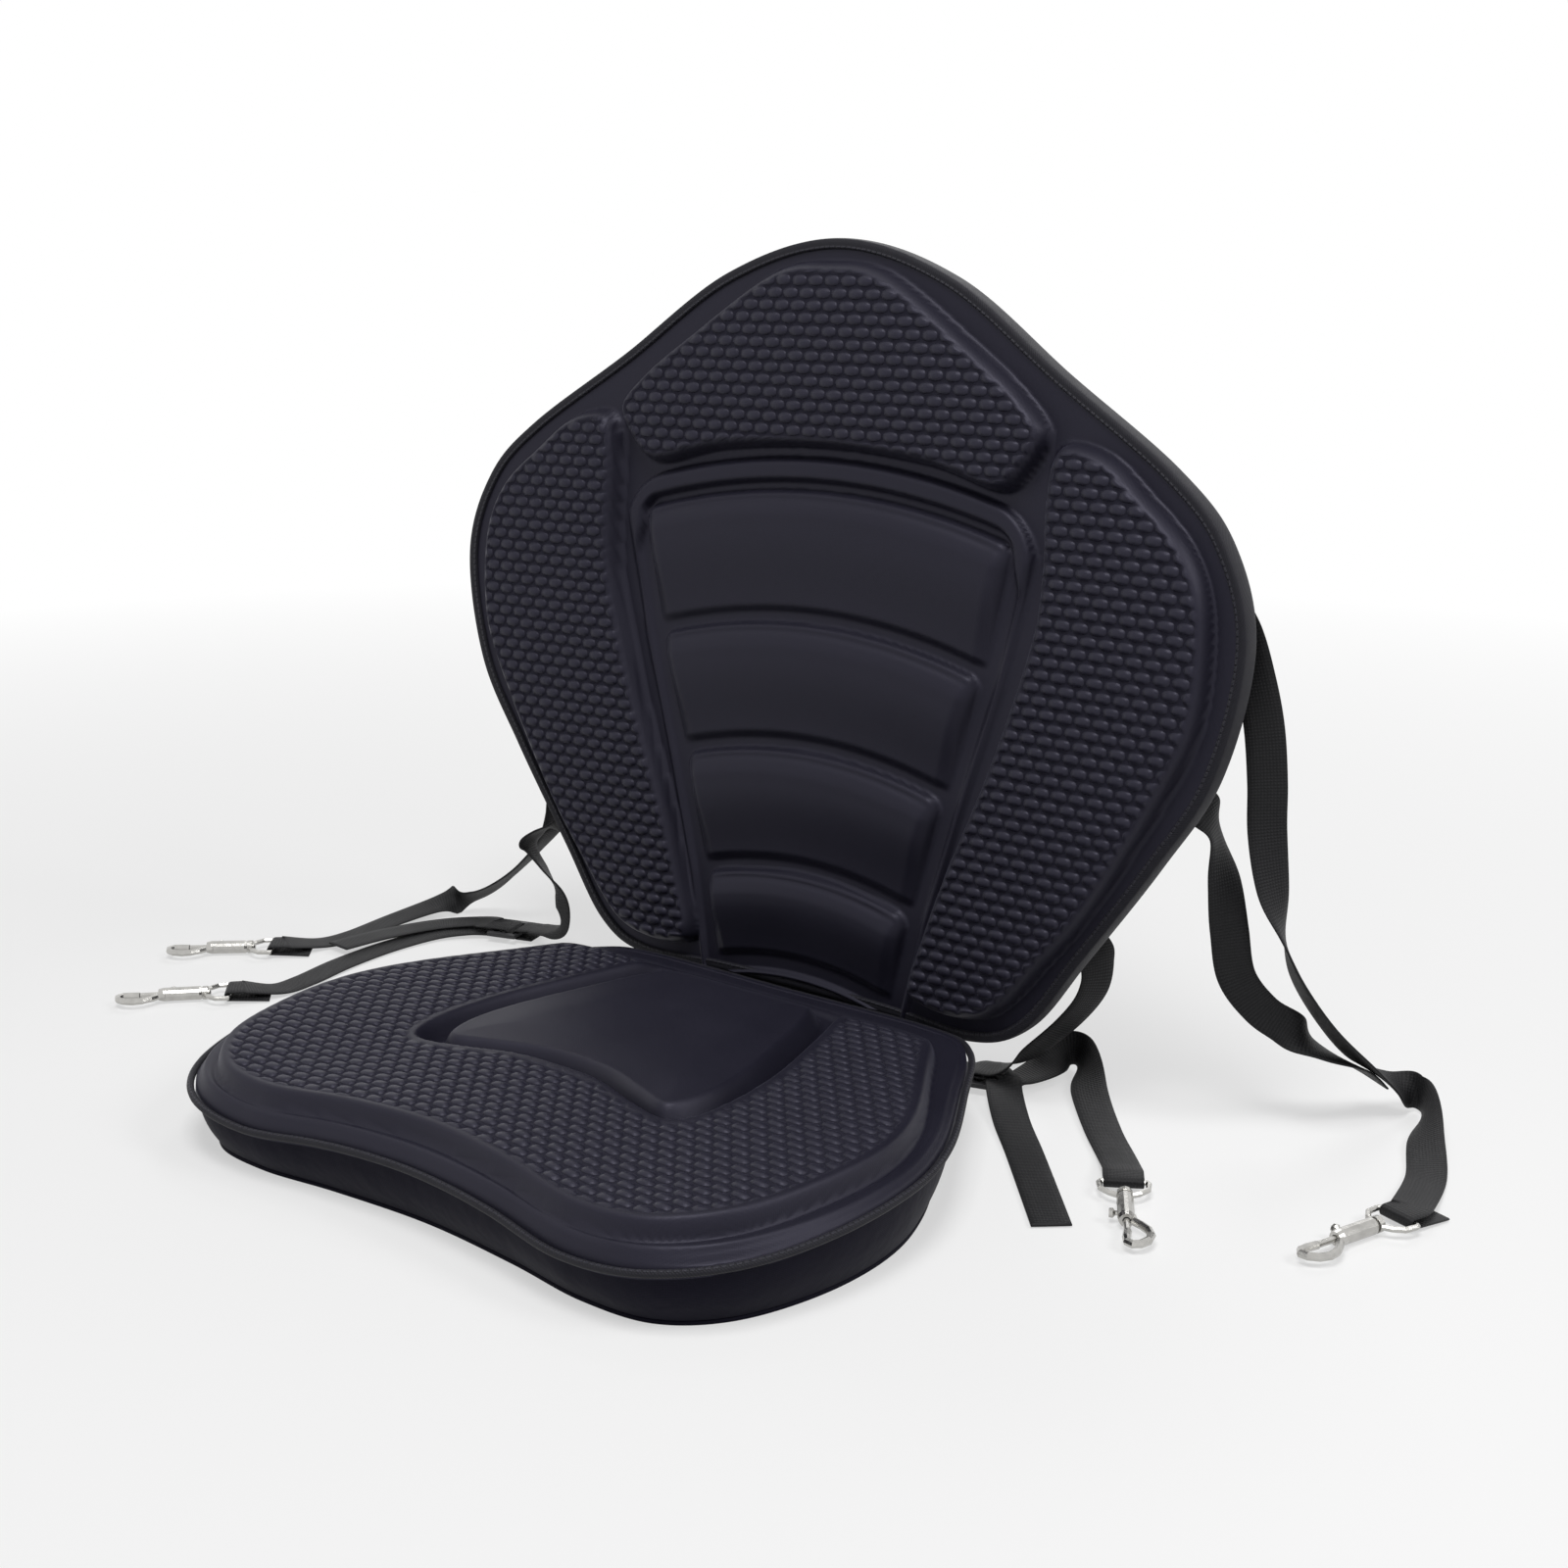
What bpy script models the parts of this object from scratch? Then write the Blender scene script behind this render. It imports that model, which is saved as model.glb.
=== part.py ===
"""Kayak seat: a moulded seat pad and a backrest on a fabric hinge, with webbing straps and snap hooks.

Metres, +Z up. The seat faces -Y and its underside lies on Z = 0. X = 0 is the plane of symmetry.
"""
import math

import bmesh
import bpy
from mathutils import Matrix, Vector

# Clearance between two pieces that touch.
GAP = 0.0003

# Seat pad.
SEAT_HALF_WIDTH = 0.204
SEAT_FRONT = 0.1530
SEAT_REAR = 0.142
SEAM_HEIGHT = 0.040
PAD_RISE = 0.0135
FRONT_DIP = 0.0045
THIGH_DIP = 0.0060
THIGH_OFFSET = 0.112
THIGH_SPREAD = 0.050
PAD_FRONT_DROP = 0.0035
SEAT_FLANGE = 0.005
SEAT_MOULD_WALL = 0.003
STEP_HEIGHT = 0.010
CHANNEL_DEPTH = 0.012
BAND_DRAFT = 0.0100
BAND_THICKNESS = 0.0025
BOTTOM_COVER = 0.002
PIPING_RADIUS = 0.0019
FRONT_DIP_START = 0.020
FRONT_DIP_END = 0.140
PAD_FRONT_FALL = 0.001
PAD_FADE_START = 0.095
PAD_FADE_END = 0.134
SEAT_EDGE_ROUND = 0.001

# Walls of the seat's pads: how far each loop lies outside its outline, and its share of the depth.
PAD_STEP = ((0.0025, 1), (0.0006, 0.35), (-0.002, 0.08), (-0.008, 0))
CHANNEL_WALL = ((0.007, 0), (0.0015, 0.125), (-0.0015, 0.6), (-0.003, 1))
CENTRE_WALL = ((0.002, 1), (0, 0.4), (-0.003, 0.125), (-0.010, 0))

# How far inside the seam the loops of the moulding's underside lie, from its rim to its roof.
HOLLOW_RIM = 0.016
HOLLOW_FOOT = 0.026
HOLLOW_SHOULDER = 0.045
HOLLOW_ROOF = 0.060
CORE_CLEARANCE = 0.001
BAND_BULGE = 0.42
PIPING_SIDES = 5

# Backrest, in its own frame: u across, w rearward from the face of the pads, v up from the pivot.
BACK_HALF_WIDTH = 0.264
BACK_HEIGHT = 0.400
BACK_WRAP = 0.013
WRAP_STRIPS = 6
RECLINE = math.radians(4.3)
PIVOT_Y = 0.148
PIVOT_Z = 0.0545
BACK_PAD_RISE = 0.013
RIB_RISE = 0.009
PAD_SHOULDER = 0.006
RIB_SHOULDER = 0.004
PAD_ROUND = ((0, 0.55), (0.25, 0.18), (1, 0))
BACK_PANEL = 0.0045
STIFFENER = 0.0012
STIFFENER_MARGIN = 0.012
REAR_COVER = 0.0028
SHEET_CHAMFER = 0.0008
BINDING = 0.0014
BINDING_LIP = 0.007

# Fabric hinge between the two pads.
HINGE_WIDTH = 0.190
HINGE_CLOTH = 0.0015
HINGE_SAG = 0.015
HINGE_FULLNESS = 0.7
HINGE_STEPS = 8
HINGE_PLACES = 6
SEAM_BULGE = 0.0008

# Straps, their adjusters and hooks.
WEBBING_WIDTH = 0.020
WEBBING = 0.0012
BAR_RADIUS = 0.0015
LOOP_LEAD = 0.008
LOOP_TAIL = 0.024
TURN_STEPS = 6
ANCHOR_LENGTH = 0.025
ANCHOR_STEP = 0.007
HOOK_AXIS_HEIGHT = 0.0050
EYE_WIDTH = 0.0245
EYE_LENGTH = 0.0150
EYE_CORNER = 0.0018
EYE_CORNER_CUT = 0.3
EYE_SIDES = 8
EYE_BOSS_RADIUS = 0.0042
EYE_BOSS_LENGTH = 0.0030
BORE_OVERRUN = 0.0020
ROUND_SIDES = 12
STEM_RADIUS = 0.0018
STEM_HEAD_RADIUS = 0.0030
STEM_HEAD_LENGTH = 0.0015
STEM_HEAD_DOME = 0.6
BARREL_RADIUS = 0.0042
BARREL_LENGTH = 0.0260
BARREL_SIDES = 14
BARREL_END_SHARE = 0.85
BARREL_CHAMFERS = (0.0015, 0.0030)
BARREL_BORE_DEPTH = 0.72
CLAW_WIRE = 0.0021
CLAW_REACH = 0.0245
CLAW_OFFSET = 0.0110
BOLT_RADIUS = 0.0017
BOLT_TRAVEL = 0.0080
BOLT_SIDES = 10
THUMB_RADIUS = 0.0026
THUMB_PLACE = 0.70
THUMB_NECK = 0.48
THUMB_PROFILE = ((0.0010, 0.48), (0.0022, 1), (0.0040, 0.9))
CLAW_SIDES = 8
ADJUSTER_WIDTH = 0.0300
ADJUSTER_HEIGHT = 0.0055
ADJUSTER_BAR = 0.0024
ADJUSTER_PITCH = 0.0090
ADJUSTER_CLEAR = 0.0060
ADJUSTER_PLAY = 0.0020

# Seat outlines, from the middle of the front edge to the middle of the rear edge, in shares of the half
# width across and of the front or rear reach along.
FLANGE_OUTLINE = ((0, -0.935), (0.294, -0.961), (0.539, -1), (0.750, -0.965), (0.900, -0.790),
                  (0.985, -0.490), (1, -0.160), (0.940, 0.160), (0.800, 0.550), (0.655, 0.900),
                  (0.490, 1), (0, 1))
SEAT_PAD_OUTLINE = ((0, -0.858), (0.270, -0.893), (0.520, -0.948), (0.720, -0.905), (0.860, -0.720),
                    (0.925, -0.430), (0.935, -0.130), (0.875, 0.150), (0.735, 0.500), (0.600, 0.800),
                    (0.455, 0.915), (0, 0.915))
CHANNEL_OUTLINE = ((0, -0.257), (0.140, -0.270), (0.288, -0.334), (0.409, -0.367), (0.460, -0.302),
                   (0.474, -0.129), (0.456, 0.106), (0.414, 0.352), (0.363, 0.599), (0.312, 0.789),
                   (0.233, 0.859), (0, 0.859))
CENTRE_PAD_OUTLINE = ((0, -0.199), (0.130, -0.219), (0.260, -0.277), (0.353, -0.315), (0.400, -0.264),
                      (0.419, -0.116), (0.400, 0.092), (0.358, 0.324), (0.312, 0.549), (0.260, 0.718),
                      (0.195, 0.789), (0, 0.789))

# Backrest outlines, in shares of the half width and of the height above the pivot. The first two run
# from the middle of the top edge to the middle of the bottom edge, the third goes all round.
BACK_OUTLINE = ((0, 1), (0.28, 0.953), (0.556, 0.835), (0.812, 0.728), (0.940, 0.645), (1, 0.525),
                (0.955, 0.3625), (0.842, 0.235), (0.690, 0.090), (0.575, -0.015), (0.450, -0.052),
                (0.226, -0.048), (0, -0.045))
TOP_PAD_OUTLINE = ((0, 0.972), (0.15, 0.957), (0.380, 0.862), (0.485, 0.812), (0.545, 0.765),
                   (0.510, 0.715), (0.440, 0.686), (0.263, 0.712), (0, 0.724))
SIDE_PAD_OUTLINE = ((0.600, 0.755), (0.692, 0.742), (0.778, 0.700), (0.880, 0.640), (0.932, 0.560),
                    (0.932, 0.440), (0.880, 0.345), (0.737, 0.178), (0.628, 0.080), (0.520, -0.002),
                    (0.420, -0.026), (0.315, -0.018), (0.292, 0.010), (0.320, 0.075), (0.372, 0.178),
                    (0.462, 0.330), (0.540, 0.495), (0.556, 0.585), (0.553, 0.670), (0.562, 0.730))
RIB_TOPS = (0.665, 0.480, 0.300, 0.1225)
RIB_HALF_WIDTHS = (0.485, 0.415, 0.335, 0.265, 0.225)
RIB_BOTTOM = -0.0205
RIB_OVERLAP = 1.02
RIB_ARCH = 0.060
RIB_GAP = 0.0045
RIB_PLACES = 10
ARCH_BAND_LOW = 0.675
ARCH_BAND_TOP = 0.710
ARCH_BAND_RISE = 0.006

OUTLINE_STEPS = 3
HIDDEN_STEPS = 2
ROUTE_STEPS = 2

# Straps are sewn to the rear face at these shares of its half width and height. Each route runs on from
# there: a point, then the direction of the webbing's width.
REAR_ANCHOR = (0.900, 0.600)
BRACE_ANCHOR = (0.790, 0.345)
FRONT_ANCHOR = (0.560, 0.160)
REAR_RIGHT_ROUTE = (((0.2523, 0.184, 0.271), (0.98, 0.02, 0)), ((0.258, 0.189, 0.247), (0.95, 0.2, 0)),
                    ((0.262, 0.194, 0.220), (0.9, 0.4, 0)), ((0.263, 0.199, 0.191), (0.85, 0.5, 0)),
                    ((0.263, 0.202, 0.165), (0.8, 0.6, 0)), ((0.267, 0.204, 0.135), (0.45, 0.9, 0)),
                    ((0.274, 0.205, 0.110), (-0.42, 0.91, 0)), ((0.281, 0.209, 0.088), (-0.75, 0.66, 0)),
                    ((0.291, 0.224, 0.062), (-0.85, 0.5, 0)), ((0.301, 0.250, 0.035), (-0.93, 0.35, 0)),
                    ((0.310, 0.276, 0.016), (-0.75, 0.2, 0.6)), ((0.320, 0.284, 0.012), (-0.1, 0, 1)),
                    ((0.331, 0.270, 0.012), (0.3, 0.1, 0.95)), ((0.342, 0.240, 0.007), (0.9, 0.1, 0.4)),
                    ((0.357, 0.205, 0.002), (0.99, 0.1, 0)))
REAR_RIGHT_HOOK = ((0.366, 0.150), (-0.33, -0.94))
REAR_RIGHT_BRACE = (((0.229, 0.190, 0.178), (0.75, 0.4, 0.5)), ((0.236, 0.198, 0.161), (-0.3, 0.9, 0.3)),
                    ((0.243, 0.197, 0.137), (0.45, 0.9, 0)), ((0.246, 0.200, 0.110), (0.8, 0.6, 0)),
                    ((0.249, 0.205, 0.084), (0.85, 0.45, 0.3)), ((0.260, 0.213, 0.066), (0.5, 0.2, 0.85)),
                    ((0.273, 0.219, 0.057), (-0.1, 0.1, 1)), ((0.285, 0.230, 0.045), (-0.8, 0.4, 0.4)),
                    ((0.297, 0.251, 0.032), (-0.93, 0.35, 0)), ((0.303, 0.266, 0.020), (-0.93, 0.3, 0.2)))
REAR_LEFT_ROUTE = (((-0.2523, 0.184, 0.271), (0.98, -0.02, 0)), ((-0.254, 0.190, 0.235), (0.99, 0.05, 0)),
                   ((-0.248, 0.198, 0.195), (0.99, 0.1, 0)), ((-0.240, 0.206, 0.150), (0.95, 0.3, 0)),
                   ((-0.240, 0.214, 0.108), (0.7, 0.7, 0)),
                   ((-0.251, 0.215, 0.076), (0.3, 0.9, 0.3)), ((-0.273, 0.214, 0.051), (0.1, 0.95, 0.3)),
                   ((-0.297, 0.212, 0.031), (0.2, 0.95, 0.2)), ((-0.324, 0.213, 0.015), (0.5, 0.85, 0)),
                   ((-0.345, 0.198, 0.008), (0.9, 0.42, 0)), ((-0.355, 0.165, 0.003), (0.98, 0.2, 0)),
                   ((-0.355, 0.128, 0.0012), (1, 0, 0)), ((-0.358, 0.104, 0.002), (0.93, -0.3, 0)))
REAR_LEFT_HOOK = ((-0.371, 0.074), (-0.75, -0.66))
REAR_LEFT_BRACE = (((-0.224, 0.188, 0.172), (0.9, 0.3, 0)), ((-0.231, 0.198, 0.142), (0.8, 0.5, 0)),
                   ((-0.233, 0.2055, 0.110), (0.7, 0.7, 0)), ((-0.2455, 0.2125, 0.0755), (0.3, 0.9, 0.3)))
FRONT_ANCHOR_RIGHT = (((0.169, 0.190, 0.0935), (0.9, 0.1, 0.3)), ((0.172, 0.196, 0.076), (0.5, 0.8, 0.1)),
                      ((0.169, 0.196, 0.059), (0.4, 0.9, -0.1)), ((0.156, 0.194, 0.040), (0.3, 0.9, -0.2)),
                      ((0.138, 0.186, 0.021), (0.2, 0.97, -0.2)))
ADJUSTER_RIGHT = ((0.113, 0.172), (-0.93, -0.25))
FRONT_RIGHT_ROUTE = (((0.130, 0.182, 0.003), (-0.2, 0.97, 0)), ((0.136, 0.203, 0.006), (-0.8, 0.5, 0.3)),
                     ((0.139, 0.222, 0.012), (-0.2, 0, 1)), ((0.152, 0.221, 0.012), (0.3, 0.2, 0.95)),
                     ((0.172, 0.192, 0.005), (0.75, 0.6, 0.2)), ((0.200, 0.158, 0.002), (0.77, 0.64, 0)),
                     ((0.224, 0.131, 0.0025), (0.8, 0.6, 0)))
FRONT_RIGHT_HOOK = ((0.244, 0.103), (0.52, -0.85))
FRONT_RIGHT_TAIL = (((0.138, 0.160, 0.0065), (0.5, 0.86, 0)), ((0.158, 0.136, 0.0025), (0.75, 0.66, 0)),
                    ((0.182, 0.110, 0.0012), (0.74, 0.67, 0)), ((0.210, 0.078, 0.0012), (0.77, 0.64, 0)),
                    ((0.237, 0.047, 0.0012), (0.76, 0.65, 0)))
FRONT_ANCHOR_LEFT = (((-0.178, 0.186, 0.104), (0.9, 0.1, -0.3)), ((-0.212, 0.195, 0.088), (0.3, 0.5, -0.8)),
                     ((-0.233, 0.186, 0.0835), (0, 1, 0)), ((-0.246, 0.187, 0.0705), (-0.2, 0.9, -0.3)),
                     ((-0.234, 0.188, 0.0555), (-0.5, 0.8, -0.3)), ((-0.222, 0.189, 0.0405), (-0.9, 0.4, 0)),
                     ((-0.221, 0.190, 0.0245), (-0.9, 0.4, 0.1)), ((-0.233, 0.196, 0.0125), (-0.4, 0.9, 0)))
ADJUSTER_LEFT = ((-0.272, 0.193), (0.96, 0.28))
FRONT_LEFT_ROUTE = (((-0.298, 0.180, 0.003), (0.5, -0.86, 0)), ((-0.313, 0.160, 0.002), (0.9, -0.4, 0)),
                    ((-0.319, 0.125, 0.0015), (1, 0, 0)), ((-0.317, 0.085, 0.0015), (1, 0.05, 0)),
                    ((-0.311, 0.050, 0.0015), (0.98, -0.05, 0)), ((-0.310, 0.028, 0.0025), (0.95, -0.3, 0)))
FRONT_LEFT_HOOK = ((-0.324, 0.003), (-0.69, -0.72))
FRONT_LEFT_TAIL = (((-0.300, 0.190, 0.006), (0.4, -0.9, 0)), ((-0.322, 0.172, 0.004), (0.85, -0.5, 0)),
                   ((-0.334, 0.135, 0.0045), (1, -0.1, 0)), ((-0.338, 0.100, 0.0050), (1, 0, 0)))

# Anchor webbing at an adjuster: lead and sewn end, and, where it passes over the other bars, places
# along the adjuster with the height there.
OVER_REACH = (0.0040, 0.0045)
BEYOND_REACH = (0.010, 0.011)
OVER_KEYS = ((-0.013, 0.0118), (-0.001, 0.0103))

# Far half of a swivel eye's middle line, in shares of its length and half width.
EYE_SHOULDERS = ((0.55, 0.95), (0.85, 0.62), (1, 0.30))

# Middle line of a hook's claw, in shares of its reach and of its offset.
CLAW_PATH = ((-0.16, 0.26), (0.02, 0.33), (0.17, 0.62), (0.36, 0.90), (0.58, 1), (0.80, 0.86), (0.95, 0.52),
             (0.98, 0.18), (0.88, -0.04), (0.70, -0.06), (0.46, 0))


def clear_scene():
    """Remove whatever the open file holds."""
    for obj in list(bpy.data.objects):
        bpy.data.objects.remove(obj, do_unlink=True)


def make_material(name, colour, roughness, metallic=0.0):
    """Principled material of one colour."""
    material = bpy.data.materials.new(name)
    material.use_nodes = True
    shader = material.node_tree.nodes["Principled BSDF"]
    shader.inputs["Base Color"].default_value = (*colour, 1)
    shader.inputs["Roughness"].default_value = roughness
    shader.inputs["Metallic"].default_value = metallic
    return material


def smooth(value):
    """Smooth step from 0 to 1."""
    value = min(max(value, 0.0), 1.0)
    return value * value * (3 - 2 * value)


def catmull_rom(before, start, end, after, t):
    """Point between start and end on the smooth curve through four points."""
    return 0.5 * (2 * start + (end - before) * t + (2 * before - 5 * start + 4 * end - after) * t * t
                  + (3 * start - before - 3 * end + after) * t ** 3)


def closed_curve(points, steps=OUTLINE_STEPS):
    """Smooth closed curve through 2-D points."""
    points = [Vector(point) for point in points]
    count = len(points)
    curve = []
    for i in range(count):
        around = [points[(i + k) % count] for k in (-1, 0, 1, 2)]
        curve += [catmull_rom(*around, step / steps) for step in range(steps)]
    return curve


def symmetric_curve(half, steps=OUTLINE_STEPS):
    """Closed curve from its right half, whose first and last points lie on the middle line."""
    left = [(-u, v) for u, v in half[-2:0:-1]]
    return closed_curve(list(half) + left, steps)


def outline_area(points):
    """Signed area of a closed polygon."""
    return sum(a.x * b.y - b.x * a.y for a, b in zip(points, points[1:] + points[:1])) / 2


def offset(points, distance):
    """Closed outline moved outwards by a distance, or inwards where it is negative."""
    side = 1 if outline_area(points) > 0 else -1
    moved = []
    for before, point, after in zip(points[-1:] + points[:-1], points, points[1:] + points[:1]):
        along = ((point - before).normalized() + (after - point).normalized()).normalized()
        moved.append(point + Vector((along.y, -along.x)) * side * distance)
    return moved


def add_mesh(name, bm, material, parent=None, matrix=None, smooth_angle=35):
    """Turn a bmesh into a named object, shaded smooth below an angle."""
    bmesh.ops.recalc_face_normals(bm, faces=bm.faces)
    mesh = bpy.data.meshes.new(name)
    bm.to_mesh(mesh)
    bm.free()
    mesh.shade_smooth()
    mesh.set_sharp_from_angle(angle=math.radians(smooth_angle))
    mesh.materials.append(material)
    obj = bpy.data.objects.new(name, mesh)
    bpy.context.scene.collection.objects.link(obj)
    obj.parent = parent
    if matrix is not None:
        obj.matrix_local = matrix
    return obj


def loft(loops, closed=False):
    """Closed skin through loops of equal length, with caps at both ends or joined end to end."""
    bm = bmesh.new()
    rings = [[bm.verts.new(point) for point in loop] for loop in loops]
    pairs = list(zip(rings, rings[1:]))
    if closed:
        pairs.append((rings[-1], rings[0]))
    else:
        bm.faces.new(rings[0])
        bm.faces.new(rings[-1])
    count = len(rings[0])
    for low, high in pairs:
        for i in range(count):
            j = (i + 1) % count
            bm.faces.new((low[i], low[j], high[j], high[i]))
    return bm


def join_forms(base, forms, operation="UNION"):
    """Join cutters or raised forms to a piece; the forms themselves are guides."""
    for form in forms:
        form.hide_render = True
        form.display_type = "WIRE"
        modifier = base.modifiers.new(form.name, "BOOLEAN")
        modifier.operation = operation
        modifier.object = form
        modifier.solver = "EXACT"


# Seat pad.

def seat_curve(outline, steps=OUTLINE_STEPS):
    """Seat outline at its real size."""
    return symmetric_curve([(u * SEAT_HALF_WIDTH, v * (SEAT_REAR if v > 0 else SEAT_FRONT))
                            for u, v in outline], steps)


def front_share(y):
    """0 at the middle of the seat, 1 along its front edge."""
    return smooth((-y - FRONT_DIP_START) / (FRONT_DIP_END - FRONT_DIP_START))


def thigh_share(x):
    """1 on the lines under the thighs, fading to both sides."""
    return math.exp(-((abs(x) - THIGH_OFFSET) / THIGH_SPREAD) ** 2)


def seam_z(x, y):
    """Height of the seam, which dips along the front and most under the thighs."""
    return SEAM_HEIGHT - front_share(y) * (FRONT_DIP + THIGH_DIP * thigh_share(x))


def pad_fade(y):
    """1 on the pads, 0 where they have run out at the rear edge."""
    return 1 - smooth((y - PAD_FADE_START) / (PAD_FADE_END - PAD_FADE_START))


def pad_rise(x, y):
    """How far the pads stand above the seam."""
    top = SEAM_HEIGHT + PAD_RISE - front_share(y) * (PAD_FRONT_FALL + PAD_FRONT_DROP * thigh_share(x))
    return (top - seam_z(x, y)) * pad_fade(y)


def wall_loops(outline, wall, depth):
    """Loops of a wall on the seat's upper face, from its places and shares of a depth."""
    return [seat_top_loop(offset(outline, out), depth * share) for out, share in wall]


def seat_top_loop(points, drop):
    """Loop on the seat's upper face, a drop below the top of the pads."""
    return [(p.x, p.y, seam_z(p.x, p.y) + pad_rise(p.x, p.y) - drop * pad_fade(p.y)) for p in points]


def seam_loop(points, drop):
    """Loop at a drop below the seam."""
    return [(p.x, p.y, seam_z(p.x, p.y) - drop) for p in points]


def hollow_loop(points, drop):
    """Loop on the underside of the moulding, one wall below the floor of the channel."""
    depth = CHANNEL_DEPTH + SEAT_MOULD_WALL - SEAT_FLANGE
    return [(p.x, p.y, seam_z(p.x, p.y) - SEAT_FLANGE - drop
             + max(pad_rise(p.x, p.y) - depth * pad_fade(p.y), 0)) for p in points]


def hollow_roof():
    """Height of the flat middle of the moulding's underside."""
    return SEAM_HEIGHT + PAD_RISE - CHANNEL_DEPTH - SEAT_MOULD_WALL


def seat_top_panel(material):
    """Moulded top: stepped edge, horseshoe pad, channel and centre pad in one skin."""
    flange = seat_curve(FLANGE_OUTLINE)
    pad = seat_curve(SEAT_PAD_OUTLINE)
    channel = seat_curve(CHANNEL_OUTLINE)
    centre = seat_curve(CENTRE_PAD_OUTLINE)
    loops = [[(p.x, p.y, hollow_roof()) for p in offset(flange, -HOLLOW_ROOF)],
             hollow_loop(offset(flange, -HOLLOW_SHOULDER), 0),
             hollow_loop(offset(flange, -HOLLOW_FOOT), 0),
             seam_loop(offset(flange, -HOLLOW_RIM), SEAT_FLANGE),
             seam_loop(flange, SEAT_FLANGE),
             seam_loop(offset(flange, -SEAT_EDGE_ROUND), 0)]
    loops += wall_loops(pad, PAD_STEP, STEP_HEIGHT)
    loops += wall_loops(channel, CHANNEL_WALL, CHANNEL_DEPTH)
    loops += wall_loops(centre, CENTRE_WALL, CHANNEL_DEPTH)
    return add_mesh("seat_top_panel", loft(loops), material)


def seat_core(material):
    """Foam core between the moulded top, the side band and the bottom cover."""
    flange = seat_curve(FLANGE_OUTLINE, HIDDEN_STEPS)
    wall = BAND_THICKNESS + 4 * GAP
    low = BOTTOM_COVER + GAP
    loops = [[(p.x, p.y, low) for p in offset(flange, -BAND_DRAFT - wall)],
             seam_loop(offset(flange, -SEAT_EDGE_ROUND - wall), SEAT_FLANGE + 2 * GAP),
             seam_loop(offset(flange, -HOLLOW_RIM - CORE_CLEARANCE), SEAT_FLANGE + 2 * GAP),
             hollow_loop(offset(flange, -HOLLOW_FOOT - 1.5 * CORE_CLEARANCE), 3 * GAP),
             hollow_loop(offset(flange, -HOLLOW_SHOULDER - CORE_CLEARANCE), 3 * GAP),
             [(p.x, p.y, hollow_roof() - 3 * GAP) for p in offset(flange, -HOLLOW_ROOF - CORE_CLEARANCE)]]
    return add_mesh("seat_core", loft(loops), material)


def seat_side_band(material):
    """Wall of the seat, drawn in towards the floor."""
    flange = seat_curve(FLANGE_OUTLINE)
    low = BOTTOM_COVER + GAP
    inset = SEAT_EDGE_ROUND
    middle = (inset + BAND_DRAFT) * BAND_BULGE
    loops = [[(p.x, p.y, low) for p in offset(flange, -BAND_DRAFT - BAND_THICKNESS)],
             [(p.x, p.y, low) for p in offset(flange, -BAND_DRAFT)],
             [(p.x, p.y, (seam_z(p.x, p.y) - SEAT_FLANGE + low) / 2) for p in offset(flange, -middle)],
             seam_loop(offset(flange, -inset), SEAT_FLANGE + GAP),
             seam_loop(offset(flange, -inset - BAND_THICKNESS), SEAT_FLANGE + GAP)]
    return add_mesh("seat_side_band", loft(loops, closed=True), material)


def seat_bottom_cover(material):
    """Flat cloth-faced sheet that the seat stands on."""
    edge = offset(seat_curve(FLANGE_OUTLINE), -BAND_DRAFT)
    loops = [[(p.x, p.y, 0) for p in offset(edge, -SEAT_EDGE_ROUND)],
             [(p.x, p.y, SEAT_EDGE_ROUND) for p in edge],
             [(p.x, p.y, BOTTOM_COVER) for p in edge]]
    return add_mesh("seat_bottom_cover", loft(loops), material)


def seat_piping(material):
    """Round piping sewn along the seam of the seat."""
    edge = seat_curve(FLANGE_OUTLINE)
    away = PIPING_RADIUS + GAP
    loops = []
    for k in range(PIPING_SIDES):
        angle = 2 * math.pi * (k + 0.5) / PIPING_SIDES
        ring = offset(edge, away + PIPING_RADIUS * math.cos(angle))
        loops.append([(p.x, p.y, seam_z(p.x, p.y) - SEAT_FLANGE / 2 + PIPING_RADIUS * math.sin(angle))
                      for p in ring])
    return add_mesh("seat_piping", loft(loops, closed=True), material)


# Backrest.

def back_curve(outline, steps=OUTLINE_STEPS):
    """Outline on the backrest at its real size, mirrored about the middle."""
    return symmetric_curve([(u * BACK_HALF_WIDTH, v * BACK_HEIGHT) for u, v in outline], steps)


def back_loop(points, w):
    """Loop on the backrest at a depth behind the face of the pads."""
    return [(p.x, w, p.y) for p in points]


def forward_reach(u):
    """How far the wings of the backrest come forward at a distance from its middle, in flat strips."""
    strip = 2 * BACK_HALF_WIDTH / WRAP_STRIPS
    inner = math.floor(abs(u) / strip) * strip
    share = (abs(u) - inner) / strip
    return BACK_WRAP / BACK_HALF_WIDTH ** 2 * (inner ** 2 * (1 - share) + (inner + strip) ** 2 * share)


def add_wrapped(name, bm, material, parent):
    """Crease a flat form of the backrest into upright strips, and bring its wings forward."""
    strip = 2 * BACK_HALF_WIDTH / WRAP_STRIPS
    for k in range(1 - WRAP_STRIPS // 2, WRAP_STRIPS // 2):
        bmesh.ops.bisect_plane(bm, geom=bm.verts[:] + bm.edges[:] + bm.faces[:], dist=1e-6,
                               plane_co=(k * strip, 0, 0), plane_no=(1, 0, 0))
    for vert in bm.verts:
        vert.co.y -= forward_reach(vert.co.x)
    return add_mesh(name, bm, material, parent)


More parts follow.
